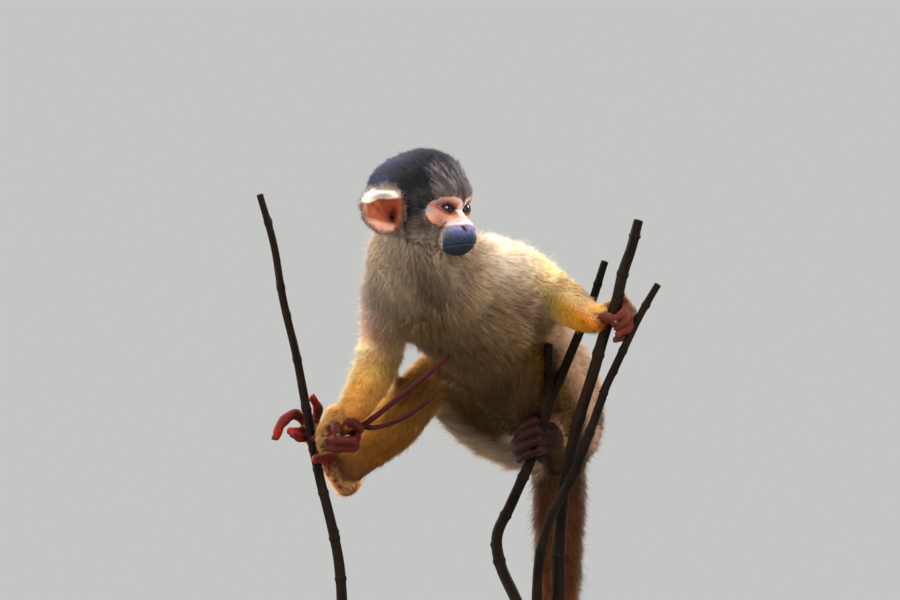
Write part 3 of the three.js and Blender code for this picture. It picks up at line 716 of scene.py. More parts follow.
CAP = rgb("#1d1e2c")
CAP_PAINTED_SHEEN = rgb("#1b1e47")
CAP_DARK = rgb("#0a0b12")
GRIZZLE = rgb("#716569")
BROW_EDGE = rgb("#58443f")
CHEEK = rgb("#4c3e39")
CHEEK_DARK = rgb("#221c1d")
CHEEK_PALE = rgb("#a09184")
SIDEBURN = rgb("#0f0e12")
PALE_FACE = rgb("#eccfcc")
TEMPLE_SKIN = rgb("#958a8a")
ARCH_SKIN = rgb("#d0ada2")
EYE_SKIN = rgb("#c88f74")
SALMON = rgb("#b5573a")
LID_RED = rgb("#7c2f20")
LID_EDGE = rgb("#260c08")
# the muzzle's slate grows lilac towards the top of the nose, partly its own colour and partly a painted
# highlight
MUZZLE_SLATE_AND_HIGHLIGHT = [(-36, "#1b272e"), (-33, "#1e2a32"), (-30.5, "#232b3a"), (-28, "#262d3f"), (-25.8, "#333952"),
                (-23.6, "#505379"), (-21, "#7c7aa3"), (-19, "#a394ac")]
MUZZLE_SIDE = rgb("#6f6274")
MUZZLE_RIM = rgb("#e2d6d0")
WHISKER_PIT = rgb("#0c0f18")
NOSTRIL = rgb("#3a0810")
RUFF = rgb("#cab6a5")


def strands(p):
    """Noise drawn out along the hair of the head: its cells are narrow in the angle round the nose's line and
    long in the distance from the nose."""
    away = p - [0, 30, -24]
    turn = np.arctan2(away[:, 0], away[:, 2])
    reach = np.linalg.norm(away, axis=1)
    fan = np.column_stack([turn * 32, reach / 5.5, np.zeros(len(p))])
    return noise(fan, 1.0, 41) + 0.5 * noise(fan * [0.4, 0.6, 1], 1.0, 42)


def patch_measure(p, side):
    """How far a point lies out of the pale patch round an eye: a rounded ellipse, wider on its outer side."""
    middle, look, out, up = eye_axes(side)
    away = p - middle
    across = away @ out
    flat = (np.abs(across / np.where(across > 0, 10.6, 9.0)) ** 2.3
            + np.abs((away @ up + 0.4) / 8.2) ** 2.3) ** (1 / 2.3)
    return np.hypot(flat, np.maximum(-(away @ look), 0) / 9)


def head_colours(p):
    """Skin and coat colours of the head: charcoal cap with a painted blue sheen on its back and a point
    between the eyes, grizzled brow, pale arches, pink skin round the eyes, slate muzzle that grows lilac to
    the top partly as a painted highlight, dark bands before the ears and grey-brown cheeks. Also how bare each
    point is, how far in the dark muzzle and in the pale patch, and how far out of the lids."""
    x, y, z = p.T
    side = np.abs(x)
    ragged = 1.1 * noise(p, 2.2, 12)
    streak = noise(p * [1, 1, 0.4], 1.7, 21) + 0.5 * noise(p, 4.5, 22)
    tone = np.tile(CHEEK, (len(p), 1))
    tone = tint(tone, CHEEK_DARK, 0.7 * ease(streak, 0.0, 0.8))
    tone = tint(tone, CHEEK_PALE, 0.6 * ease(-streak, 0.1, 0.8) * ease(-z, 10, 24))
    tone = tint(tone, CHEEK_PALE, 0.75 * ease(-z, 19, 26) * ease(y, 2, 12))
    tone = tint(tone, RUFF, np.maximum(ease(-z, 24, 33), ease(-y, 2, 14) * ease(-z, 6, 18)) * 0.8)
    cap = ease(z + ragged + 13.5 - 4.0 * ease(-y, -4, 10), -2.0, 2.0)
    tone = tint(tone, CAP, cap)
    # a painted blue sheen over the back and top of the cap
    tone = tint(tone, CAP_PAINTED_SHEEN, 0.75 * cap * ease(-y, -16, 6) * ease(z, -4, 12))
    brow = cap * ease(y - side, 4, 12) * ease(-z, -17, -8)
    strand = strands(p)
    tone = tint(tone, CAP_DARK, 0.8 * cap * ease(y, -6, 6) * ease(-z, -18, -9))
    tone = tint(tone, GRIZZLE, brow * (0.55 + 0.4 * ease(strand, -0.3, 0.6)))
    tone = tint(tone, BROW_EDGE, 0.7 * brow * ease(-z, -4, 2))
    tone = tint(tone, SIDEBURN, 0.9 * cap * bell(side, 21, 6) * ease(y, -2, 4) * ease(-z, -8, 2)
                * (1 - 0.6 * brow))
    tone = tone * (1 + 0.45 * np.clip(strand, -1, 1.2))[:, None]
    around = np.full(len(p), 9.0)
    pale = np.zeros(len(p))
    for s in (-1, 1):
        ring, across, height = lid_measure(p, s)
        around = np.minimum(around, ring)
        pale = np.maximum(pale, 1 - ease(patch_measure(p, s) + 0.05 * ragged, 0.93, 1.05))
    pale *= 1 - bell(side, 0, 4.2) * ease(z + 0.8 * ragged, -5.2, -2.8)
    pale = np.maximum(pale, ease(y, 17, 21) * (1 - ease(side, 10, 13)) * ease(-z, 10, 13) * ease(z, -21, -19))
    skin = tint(np.tile(EYE_SKIN, (len(p), 1)), TEMPLE_SKIN, ease(z, -15, -11) * ease(side, 9.5, 12.5))
    skin = tint(skin, ARCH_SKIN, 0.9 * ease(z, -7.5, -5.5) * (1 - ease(side, 9, 12)))
    ridge = 1 - ease(side, 1.6, 3.2)
    skin = tint(skin, PALE_FACE, ease(y - 0.35 * side, 20.5, 24.5) * np.maximum(ease(around, 2.1, 3.1), ridge)
                * ease(-z, 4.5, 7.5))
    skin = tint(skin, SALMON, 0.4 * bell(z, -19.0, 2.0) * ease(side, 5, 9))
    tone = tone + (skin - tone) * pale[:, None]
    bare = (1 - ease(around, 1.9, 3.0)) * pale
    tone = tint(tone, SALMON, 0.6 * bell(around, 1.95, 0.45) * pale * (0.5 + 0.5 * ease(side, 7, 11))
                * (1 - ridge))
    tone = tint(tone, LID_RED, 0.9 * bell(around, 1.45, 0.28) * pale * (1 - ridge))
    tone = tint(tone, LID_EDGE, 1 - ease(around, 1.12, 1.34))
    snout = snout_measure(p)
    dark = 1 - ease(snout + 0.012 * ragged, 0.985, 1.035)
    tone = tint(tone, MUZZLE_RIM, 0.6 * bell(snout, 1.07, 0.05) * ease(y, 12, 18)
                * (0.65 + 0.5 * noise(p, 2.0, 24)))
    slate = shaded(z + 0.7 * ragged, MUZZLE_SLATE_AND_HIGHLIGHT)
    slate = tint(slate, MUZZLE_SIDE, 0.6 * ease(snout, 0.88, 1.0) * ease(z, -30, -26))
    pits = ease(np.cos(2.6 * (y - 22)) + np.cos(4.2 * (z + 26)), 1.2, 1.8)
    pits = pits * bell(z, -26.8, 1.8) * bell(y, 25, 4)
    slate = tint(slate, WHISKER_PIT, 0.8 * pits * ease(side, 3, 5))
    slate = slate * (1 + 0.2 * noise(p, 1.3, 23) + 0.16 * noise(p, 0.7, 25))[:, None]
    tone = tone + (slate - tone) * dark[:, None]
    for s in (-1, 1):
        tone = tint(tone, NOSTRIL, np.clip(2.2 * nostril(x, y, z, s), 0, 1))
    return tone, bare, dark, around, pale


# ---------------------------------------------------------------- body skin
# The first path of each is the palm or sole, x, y, z and half width; the others are its digits.
HANDS = {
    "hand_right": [
        [[-79, -56, 414, 7.6], [-84, -54, 406, 7.6], [-86, -52, 400, 6.6]],
        [[-84, -58, 412, 3], [-81, -64, 409, 2.9], [-80.5, -65, 404, 2.6]],
        [[-81, -56, 411, 3.2], [-73, -61, 412, 3], [-67.5, -57, 408, 2.8], [-71, -51, 404, 2.5]],
        [[-88, -58, 402, 3.2], [-80, -64, 401.5, 3], [-70.5, -61, 401, 2.9], [-69, -54, 403, 2.5]],
        [[-88, -56, 397.5, 3.2], [-80, -61, 396.8, 3], [-70.5, -58, 397, 2.8], [-70, -50, 399, 2.5]],
    ],
    "hand_left": [
        [[69, -63, 471.5, 7.4], [77, -58, 474, 7.2], [84, -58, 477, 6.4]],
        [[72, -67, 473, 3], [77, -73, 473, 2.9], [80.5, -73, 469.5, 2.4]],
        [[84, -58, 484, 3], [88, -66, 480, 2.9], [84.5, -73, 474, 2.7], [80, -71, 471.5, 2.4]],
        [[87, -58, 480, 3], [90.8, -64, 477, 2.9], [87.5, -72, 470.5, 2.7], [82, -71, 467.5, 2.4]],
        [[88, -57, 476, 3], [91.6, -62, 473, 2.9], [88.5, -70, 466.5, 2.7], [83, -69.5, 463, 2.4]],
        [[86, -56, 471, 2.8], [90, -60, 468, 2.7], [86.5, -65, 462, 2.4], [81.5, -66, 460, 2.1]],
    ],
    "foot_right": [
        [[-75.3, -11, 374, 7.6], [-82, -14, 384, 7.8], [-90, -15, 395, 7], [-96, -17, 406, 6.4]],
        [[-99, -19, 410, 3.2], [-106, -22, 415.5, 3.2], [-114, -28, 410, 3], [-117, -30, 402.5, 2.7]],
        [[-95, -18, 411, 3.2], [-92.5, -20, 418.5, 3], [-95.5, -23, 425, 2.4]],
        [[-100, -20, 406, 3], [-105, -26, 405, 2.9], [-108.5, -31, 406, 2.4]],
        [[-98, -20, 402, 3], [-103, -28, 402, 2.8], [-107, -32, 404, 2.3]],
        [[-83, -17, 392, 3.6], [-87.5, -27, 391, 3.4], [-93.5, -35, 389.5, 2.9]],
    ],
    "foot_left": [
        [[48.5, 21, 385, 7.4], [46, 17, 392, 7.8], [45.5, 8, 400, 7], [44.5, 0, 404, 6.2]],
        [[42, -3, 409, 2.9], [35.5, -11, 411.5, 2.9], [27.5, -11, 407, 2.7], [24.5, -4, 403.5, 2.4]],
        [[43, -3, 404, 2.9], [36, -10.5, 405.5, 2.9], [27, -11, 401.5, 2.7], [23.5, -4, 398, 2.4]],
        [[43.5, -1, 399, 2.9], [36.5, -9, 399.5, 2.9], [27.5, -10, 395.5, 2.7], [24, -3, 392.5, 2.4]],
        [[44, 2, 394, 2.8], [37.5, -6, 393.5, 2.7], [29.5, -7.5, 390.5, 2.5], [26, -1, 388, 2.2]],
        [[46, 8, 394, 3.4], [40, 9, 398, 3.2], [32.5, 5, 398, 2.8]],
    ],
}

LIMB_PARTS = ["forearm", "upper_arm", "shin", "thigh"]
SOFT_NODES = ["neck", "chest", "abdomen", "tail_root", "tail_upper", "tail_lower", "tail_tip",
              *(f"{part}_{side}" for side in ("right", "left") for part in LIMB_PARTS)]
SKIN_VOXEL = 2.2
NODE_OVERLAP = 0.35  # how far each solid swells to close the gaps between them
CORE_INSET = 2.2  # how far the head's core lies inside its skin
EVENING = 9  # rounds of evening before the skin is drawn in


def head_core():
    """The head's plain form on a coarse grid of directions, a little inside its skin, to carry the throat."""
    columns, rows = 60, 40
    turns = np.linspace(-np.pi, np.pi, columns, endpoint=False)
    turn, rise = np.meshgrid(turns, np.linspace(-1.56, 1.56, rows))
    rays = rays_of(turn, rise)
    points = HEAD_HEART + rays * (head_reach(rays) - CORE_INSET)[:, None]
    return from_head(points), halved(grid_faces(rows, columns)[:, ::-1])


def body_skin():
    """The solids of the body, the core of the head and the palms fused to one surface, evened, and drawn in
    by the depth of the coat."""
    shapes = [head_core()]
    for paths in HANDS.values():
        points, faces = tube(paths[0], sides=16, step=2.0)
        shapes.append((points, halved(faces)))
    for name in SOFT_NODES:
        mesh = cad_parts[name].data
        welded, index = np.unique(np.round(points_of(mesh), 3), axis=0, return_inverse=True)
        faces = index.ravel()[faces_of(mesh)]
        shapes.append((welded + normals_of(welded, faces) * NODE_OVERLAP, faces))
    points, faces = fused("body", *together(shapes), SKIN_VOXEL)
    points = evened(points, faces, EVENING)
    facts = body_facts(points)
    for _ in range(3):
        points = points - normals_of(points, faces) * (facts["depth"] / 3)[:, None]
        points = evened(points, faces, EVENING // 3)
    return points, faces


# ---------------------------------------------------------------- coat
TUFT_FACES = np.array([[0, 1, 3], [1, 2, 3], [2, 0, 3]])
TUFT_PATCH = 0.003  # size of each tuft on the unwrap
ROOT_DEPTH = 0.35  # how far a root is sunk in the skin
LOCK_SPREAD = 0.25  # how far apart the tips of a lock stay, as a share of their roots' distances
FLATNESS = 0.6  # a tuft's thickness for its width
TIP_SHADE = 1.12


def coat(name, slot, roots, normals, lie, hair, lift, width, tone, atlas, *, clump=0.45, group=14,
         tip_tone=None, strays=0.04, root_shade=0.6, mottle=0.12):
    """Fine tapered tufts. Each one starts sunk in the skin and runs straight to its tip, raised by its lift
    and brought back towards the skin by its fall: its tip is root + length * (start - fall). The tip is drawn
    to the tip of the leading tuft near it, so that locks form with dark partings between them, but a few tufts
    stray. Three points make the root, and one point is the tip. Tufts of one lock share a shade, and each
    grows lighter from root to tip."""
    count = len(roots)
    leaders = rng.permutation(count)[: max(1, count // group)]
    tree = KDTree(len(leaders))
    for i, spot in enumerate(roots[leaders]):
        tree.insert(spot, i)
    tree.balance()
    lock = np.array([tree.find(spot)[1] for spot in roots])
    lead = leaders[lock]
    stray = rng.random(count) < strays
    lift = lift * (1 + 0.22 * rng.normal(0, 1, len(leaders))[lock]).clip(0.5, 1.6) * (1 + 0.9 * stray)
    twist = unit(np.cross(normals, lie))
    start = lie * np.cos(lift)[:, None] + normals * np.sin(lift)[:, None]
    fall = normals * (np.sin(lift) * rng.uniform(0.35, 0.6, count))[:, None]
    fall = fall - twist * rng.normal(0, 0.14, (count, 1))
    long = hair * rng.uniform(0.7, 1.12, count) * (1 + 0.1 * rng.normal(0, 1, len(leaders))[lock])
    long = (long * (1 + 0.3 * stray))[:, None]
    base = roots - normals * ROOT_DEPTH
    tips = base + long * (start - fall)
    pull = (tips[lead] + (roots - roots[lead]) * LOCK_SPREAD - tips) * (clump * (1 - stray))[:, None]
    flat = unit(np.cross(start, normals))
    rise = np.cross(flat, start)
    points = np.empty((count, 4, 3))
    for corner in range(3):
        turn = 2 * np.pi * corner / 3 + np.pi / 2
        points[:, corner] = base + (flat * np.cos(turn) + rise * np.sin(turn) * FLATNESS) * width[:, None]
    points[:, 3] = tips + pull
    faces = (np.arange(count)[:, None, None] * 4 + TUFT_FACES).reshape(-1, 3)
    mesh = mesh_of(name, points.reshape(-1, 3), faces)
    shade = (1 + rng.normal(0, 0.12, len(leaders))[lock]) * (1 + rng.normal(0, mottle, count))
    shade = shade.clip(0.45, 1.7)[:, None]
    tones = np.empty((count, 4, 3))
    tones[:, :3] = (tone * shade * root_shade)[:, None]
    tones[:, 3] = (tone if tip_tone is None else tip_tone) * shade * TIP_SHADE
    paint(mesh, tones.reshape(-1, 3).clip(0, 1))
    corners = np.array([(0, 0), (0.5, 0), (1, 0), (0.5, 1)])
    where = (atlas * (1 - TUFT_PATCH))[:, None] + corners * TUFT_PATCH
    layer = mesh.uv_layers.new(name="OFBake")
    layer.data.foreach_set("uv", where.reshape(-1, 2)[faces.ravel()].astype(np.float32).ravel())
    return place(name, mesh, coat_finish, slot)


def scatter(points, faces, weight, count):
    """Random places on a surface, as often as its area times the weight says, with the corners' shares."""
    a, b, c = (points[faces[:, k]] for k in range(3))
    area = np.linalg.norm(np.cross(b - a, c - a), axis=1) * weight[faces].mean(axis=1)
    pick = rng.choice(len(faces), count, p=area / area.sum())
    u, v = rng.random(count), rng.random(count)
    over = u + v > 1
    u, v = np.where(over, 1 - u, u), np.where(over, 1 - v, v)
    return faces[pick], np.column_stack([1 - u - v, u, v])


def blended(values, corners, shares):
    """Values at scattered places from those at the corners round them."""
    return (values[corners] * (shares[..., None] if values.ndim == 2 else shares)).sum(axis=1)


TAIL_SIDE_HIGHLIGHT = rgb("#cdb5a4")
THIGH_FRINGE = rgb("#dcc0a4")
PINK_FLANK = rgb("#cfa58b")
PALE_LOCK = rgb("#dfc5a2")
SHOULDER_CREAM = rgb("#fcdfc8")
PARTING_AND_SHADOW = rgb("#483826")
BACK_OLIVE = rgb("#7d6a45")
BELLY_SHADE = rgb("#443011")
BROWN_AND_SHADE = rgb("#73501d")
WAIST_GOLD = rgb("#a8763c")
KNEE_GOLD_HIGHLIGHT = rgb("#f3b65c")
GOLD_EDGE_HIGHLIGHT = rgb("#ffe9bd")
BREAST = (-28.0, 495.0)  # middle of the painted shadow that the head casts on the breast, across and up
UP_AND_BACK = unit(np.array([0.0, 0.72, 0.69]))
UP_AND_RIGHT = unit(np.array([-0.7, 0, 0.7]))  # the animal's own right


def body_colours(points, normals, facts):
    """The coat's colours from head to tail, with an olive back, pinkish flank, dark and pale locks on the
    chest and a pale fringe under the thigh. Painted shade: the head's shadow on the chest, and shade on the
    lower chest, armpit, belly, rump and under the thigh. Painted highlights: the knee, the arms' edges and
    both sides of the tail. The share of each tint is a product of eases and bells of place, of the way the
    surface faces and of the length a point lies on."""
    tone = facts["colour"].copy()
    x, y, z = points.T
    owner, part = facts["owner"], facts["part"]
    back = normals @ UP_AND_BACK
    front = ease(-normals[:, 1], -0.3, 0.3)
    tone = tint(tone, BACK_OLIVE, 0.85 * ease(back, 0.15, 0.75) * (owner == ON_TRUNK) * ease(part, 0.1, 0.35))
    tone = tint(tone, PINK_FLANK, 0.8 * ease(x, 28, 58) * ease(z, 395, 430) * (1 - ease(back, 0.3, 0.8))
                * (owner == ON_TRUNK))
    # the chest: dark partings, partly painted shade, and a painted shadow of the head on the breast; darker
    # and paler locks, and cream towards the left shoulder
    chest = (owner <= ON_TRUNK) * (1 - ease(part, 0.35, 0.5) * (owner == ON_TRUNK))
    streaks = noise(points * [1, 1, 0.3], 5.0, 3) + 0.6 * noise(points, 13.0, 13)
    breast = np.exp(-(((x - BREAST[0] + 0.35 * (z - BREAST[1])) / 11) ** 2) - ((z - BREAST[1]) / 24) ** 2)
    parting_and_shadow = (0.45 * ease(streaks, 0.1, 0.8) + 0.65 * breast) * chest * (1 - 0.8 * ease(x, 0, 26))
    tone = tint(tone, PARTING_AND_SHADOW, np.clip(parting_and_shadow, 0, 0.85))
    tone = tint(tone, PALE_LOCK, 0.45 * ease(-streaks, 0.15, 0.8) * chest)
    tone = tint(tone, SHOULDER_CREAM, 0.85 * chest * ease(x, 2, 34) * ease(z, 462, 486))
    tone = tint(tone, WAIST_GOLD, 0.55 * (owner == ON_TRUNK) * bell(part, 0.38, 0.16) * ease(-back, -0.3, 0.2)
                * ease(x, -30, 0))
    # the lower chest and the left armpit are browner, partly as painted shade; the belly has darker grizzled
    # locks, and painted shade between the legs and at the rump
    tone = tint(tone, BROWN_AND_SHADE, 0.8 * (owner <= ON_TRUNK) * front * ease(-z, -494, -466) * ease(-x, -24, 4))
    tone = tint(tone, BROWN_AND_SHADE, 0.7 * (owner <= ON_TRUNK) * front * bell(x, 19, 11) * bell(z, 481, 10))
    grizzle = noise(points * [1, 1, 0.5], 6.0, 14)
    tone = tint(tone, BELLY_SHADE, 0.5 * ease(grizzle, -0.1, 0.8) * (owner == ON_TRUNK) * (1 - chest)
                * (1 - ease(back, 0.1, 0.5)))
    tone = tint(tone, BELLY_SHADE, 0.7 * (owner == ON_TRUNK) * front * bell(x, 18, 15) * bell(z, 434, 17))
    tone = tint(tone, BELLY_SHADE, 0.7 * front * ease(x, 48, 64) * ease(-z, -428, -410) * (owner != ON_TAIL))
    # the right leg: a pale fringe under the thigh, painted shade on the thigh's lower side, and a painted
    # highlight of gold where the knee faces up and to its right
    under = ease(-normals[:, 2], 0.5, 0.88)
    tone = tint(tone, THIGH_FRINGE, 0.95 * under * (owner == ON_LEG_RIGHT) * (1 - ease(part, 0.5, 0.7)))
    tone = tint(tone, BELLY_SHADE, 0.25 * ease(-normals[:, 2], 0.0, 0.5) * (1 - under)
                * (owner == ON_LEG_RIGHT) * (1 - ease(part, 0.4, 0.6)))
    tone = tint(tone, KNEE_GOLD_HIGHLIGHT, 0.65 * (owner == ON_LEG_RIGHT) * ease(part, 0.42, 0.5)
                * ease(normals @ UP_AND_RIGHT, 0.35, 0.85))
    # painted highlights: pale gold on the right arm's outer edge and the left arm's upper side, and pale down
    # both sides of the tail; and the left thigh's pink side
    tone = tint(tone, GOLD_EDGE_HIGHLIGHT, 0.8 * (owner == ON_ARM_RIGHT) * ease(-normals[:, 0], 0.35, 0.85)
                * ease(-z, -466, -450))
    tone = tint(tone, GOLD_EDGE_HIGHLIGHT, 0.6 * (owner == ON_ARM_LEFT) * ease(normals[:, 2], 0.3, 0.8)
                * ease(x, 30, 42))
    rim = ease(np.abs(normals[:, 0]), 0.75, 0.97)
    tone = tint(tone, TAIL_SIDE_HIGHLIGHT, 0.35 * rim * (owner == ON_TAIL) * (1 - ease(part, 0.66, 0.75)))
    tone = tint(tone, PINK_FLANK, 0.6 * ease(normals[:, 0], 0.5, 0.9) * (owner == ON_LEG_LEFT)
                * (1 - ease(part, 0.3, 0.5)))
    return tone * (1 + 0.1 * noise(points, 10.0, 15))[:, None]


# ---------------------------------------------------------------- skin and coat are made
SKIN_SHADE_UNDER_COAT = 0.55  # how light the skin under the coat is, as a share of the coat's colour: painted shade between the tufts
head_points, head_faces, head_turn, head_rise = head_skin()
head_world = from_head(head_points)
skin_points, skin_faces = body_skin()
skin_normals = normals_of(skin_points, skin_faces)
facts = body_facts(skin_points)
body_tone = body_colours(skin_points, skin_normals, facts)
head_tone, head_bare, head_dark, head_ring, head_pale = head_colours(head_points)
head_triangles = halved(head_faces)
all_points, all_faces = together([(skin_points, skin_faces), (head_world, head_triangles)])
skin_mesh = mesh_of("skin", all_points, all_faces)
head_shade = 1 - (1 - SKIN_SHADE_UNDER_COAT) * (1 - np.clip(head_pale + head_dark, 0, 1))
paint(skin_mesh, np.vstack([body_tone * SKIN_SHADE_UNDER_COAT, head_tone * head_shade[:, None]]).clip(0, 1))
skin = place("skin", skin_mesh, skin_finish, "bare_skin", [*SOFT_NODES, "head"])

COATS = [  # name, slot, length, part of it, tufts, width, wander, clump, root shade
    ("neck", "cream_fur", ON_NECK, (0, 1), 44000, 0.2, 0.22, 0.45, 0.55),
    ("chest", "cream_fur", ON_TRUNK, (0, 0.42), 54000, 0.2, 0.22, 0.5, 0.5),
    ("belly", "olive_fur", ON_TRUNK, (0.42, 1), 50000, 0.2, 0.22, 0.42, 0.55),
    ("tail", "olive_fur", ON_TAIL, (0, 1), 46000, 0.2, 0.18, 0.35, 0.55),
    ("arm_right", "gold_fur", ON_ARM_RIGHT, (0, 1), 42000, 0.17, 0.13, 0.3, 0.75),
    ("arm_left", "gold_fur", ON_ARM_LEFT, (0, 1), 38000, 0.17, 0.13, 0.3, 0.75),
    ("leg_right", "gold_fur", ON_LEG_RIGHT, (0, 1), 52000, 0.18, 0.15, 0.32, 0.68),
    ("leg_left", "gold_fur", ON_LEG_LEFT, (0, 1), 34000, 0.18, 0.15, 0.32, 0.6),
]
in_head = to_head(skin_points)
clear = (head_field(in_head) > -1.6).astype(float)
for side in (-1, 1):
    row, level, sink = ear_place(in_head, side)
    clear *= ~((row < 1.05) & (level > -sink - 2) & (level < 20))
fringe = ease(-skin_normals[:, 2], 0.4, 0.9) * (facts["owner"] == ON_LEG_RIGHT)
fringe = fringe * (1 - ease(facts["part"], 0.4, 0.55))
locks = 1 + 0.18 * noise(skin_points, 11.0, 16)
for name, slot, owner, (low, high), count, width, amount, clump, shade in COATS:
    chosen = (facts["owner"] == owner) & (facts["part"] >= low) & (facts["part"] <= high)
    corners, shares = scatter(skin_points, skin_faces, chosen * clear, count)
    roots = blended(skin_points, corners, shares)
    normals = unit(blended(skin_normals, corners, shares))
    lie = blended(facts["lie"], corners, shares) + [0, 0, -0.3]
    wander = np.column_stack([noise(roots, 22.0, k) for k in (5, 6, 7)])
    lie = flat_to(unit(lie) + amount * wander, normals)
    hair = blended(facts["hair"] * locks * (1 + 0.35 * fringe), corners, shares)
    deep = blended(facts["depth"], corners, shares)
    lift = np.arcsin(np.clip(deep / (0.6 * hair), 0.12, 0.8)) * rng.uniform(0.75, 1.2, count)
    tone = blended(body_tone, corners, shares)
    run = (blended(facts["part"], corners, shares) - low) / (high - low)
    turn = facts["angle"][corners[:, 0]] / (2 * np.pi) + 0.5
    atlas = np.column_stack([turn, run]).clip(0, 1)
    coat("coat_" + name, slot, roots, normals, lie, hair, lift, np.full(count, width), tone, atlas,
         clump=clump, root_shade=shade)

LID_CLEAR = 1.4  # no tuft grows nearer to the lids' edge than this measure
BEHIND_EAR = -22  # level at which the head is clear of the ear's back
head_normals = normals_of(head_world, head_triangles)
face_bare = np.clip(head_bare + head_dark, 0, 1)
in_neck = np.linalg.norm(head_world - np.array(NECK[1][:3]), axis=1) < NECK[1][3] - 8
open_skin = ~in_neck * (head_ring > LID_CLEAR)
for side in (-1, 1):
    row, level, sink = ear_place(head_points, side)
    open_skin = open_skin * ((row > 1.0) | (level < BEHIND_EAR))


def head_lie(local, normals, size, amount):
    """The way the head's hair lies: back from the nose, out round each eye, down behind the cheeks, with a
    wandering part."""
    flow = unit(local - [0, 36, -22]) + [0, -0.9, -0.1]
    for side in (-1, 1):
        middle = eye_axes(side)[0]
        near = bell(np.linalg.norm(local - middle, axis=1), 8, 4.5)[:, None]
        flow = flow + 1.3 * near * unit(local - middle - [0, 2, 0])
    flow = flow + 1.1 * (ease(-local[:, 1], -20, 0) * ease(-local[:, 2], 4, 18))[:, None] * [0, -0.3, -1.0]
    wander = np.column_stack([noise(local, size, k) for k in (8, 9, 10)])
    return flat_to(flow @ HEAD_AXES + amount * wander, normals)


def head_atlas(corners, shares):
    """Each root's place on the sphere of directions from the heart of the head, as numbers from 0 to 1."""
    turn = blended(head_turn, corners[:, :1].repeat(3, 1), shares) / (2 * np.pi) + 0.5
    return np.column_stack([turn, blended(head_rise, corners, shares) / np.pi + 0.5]).clip(0, 1)


CROWN_TUFTS, FACE_TUFTS = 56000, 26000
FROST = rgb("#c9bdbf")
FACE_DOWN = rgb("#e8dcd2")

hairy = (1 - face_bare) * (1 - 0.9 * head_pale) * open_skin
corners, shares = scatter(head_world, head_triangles, hairy, CROWN_TUFTS)
roots = blended(head_world, corners, shares)
local, normals = to_head(roots), unit(blended(head_normals, corners, shares))
deep = coat_depth_of_head(local)
hair = 2.4 + 2.0 * deep
lift = np.arcsin(np.clip(deep / (0.6 * hair), 0.12, 0.8)) * rng.uniform(0.8, 1.25, CROWN_TUFTS)
tone = blended(head_tone, corners, shares)
frosted = ease(strands(local), 0.1, 0.9) * ease(local[:, 1] - np.abs(local[:, 0]), 3, 11)
frosted *= ease(-local[:, 2], -17, -8) * ease(local[:, 2], -6, -1)
root_shade = (0.45 + 0.5 * blended(head_pale, corners, shares))[:, None]
coat("coat_head", "cap_fur", roots, normals, head_lie(local, normals, 9.0, 0.12), hair, lift,
     np.full(CROWN_TUFTS, 0.13), tone, head_atlas(corners, shares), clump=0.45,
     tip_tone=tint(tone, FROST, 0.5 * frosted), strays=0.015, mottle=0.25, root_shade=root_shade)

soft = open_skin * ease(head_points[:, 1], 6, 14) * (1 - 0.9 * head_dark) * (1 - 0.5 * head_bare)
corners, shares = scatter(head_world, head_triangles, soft, FACE_TUFTS)
roots, bald = blended(head_world, corners, shares), blended(face_bare, corners, shares)
local, normals = to_head(roots), unit(blended(head_normals, corners, shares))
tone = blended(head_tone, corners, shares)
pale = tint(tone * 1.05, FACE_DOWN, 0.12 + 0.2 * bald)
coat("coat_face", "cap_fur", roots, normals, head_lie(local, normals, 6.0, 0.3), 2.9 - 1.5 * bald,
     rng.uniform(0.18, 0.5, FACE_TUFTS), 0.085 - 0.03 * bald, tone * 1.5, head_atlas(corners, shares),
     clump=0.2, tip_tone=pale, strays=0.01)


# ---------------------------------------------------------------- eyes
EYE_WHITE = rgb("#5a2416")  # a red-brown in this animal
IRIS, IRIS_RAY, IRIS_RIM = rgb("#45291c"), rgb("#1f1411"), rgb("#140807")
# near black, with a faint blue that is a painted reflection
PUPIL_WITH_REFLECTION = rgb("#0a0c1a")
LID_RIM_TONE = rgb("#3c1710")


def eyeball(side):
    """Rings about the line of sight. The radius swells by a bell curve at the front to make the cornea. Dark
    pupil with a faint blue that is a painted reflection, brown iris with rays, a dark edge, and a red-brown
    round it."""
    rings, spokes = 70, 72
    angle = np.linspace(0.001, np.pi, rings)[:, None] * np.ones(spokes)
    turn = np.ones((rings, 1)) * np.linspace(0, 2 * np.pi, spokes, endpoint=False)
    middle, look, out, up = eye_axes(side)
    radius = EYE["radius"] + 0.45 * bell(angle, 0, 0.5)
    look = unit(look + GAZE_RISE * up)
    up = np.cross(out, look) * side
    points = (look * (np.cos(angle) * radius)[..., None]
              + out * (np.sin(angle) * np.cos(turn) * radius)[..., None]
              + up * (np.sin(angle) * np.sin(turn) * radius)[..., None]).reshape(-1, 3)
    angle, turn = angle.ravel(), turn.ravel()
    tones = np.tile(EYE_WHITE, (len(points), 1))
    rays = 0.5 + 0.5 * np.sin(turn * 23 + 3 * np.sin(turn * 7))
    iris = 1 - ease(angle, 0.62, 0.68)
    tones = tint(tones, IRIS, iris)
    tones = tint(tones, IRIS_RAY, iris * (0.3 + 0.5 * rays))
    tones = tint(tones, IRIS_RIM, bell(angle, 0.65, 0.045))
    tones = tint(tones, PUPIL_WITH_REFLECTION, 1 - ease(angle, 0.28, 0.36))
    faces = grid_faces(rings, spokes)
    if side > 0:
        faces = faces[:, ::-1]
    mesh = mesh_of("eye", from_head(points + middle), faces)
    paint(mesh, tones)
    return mesh


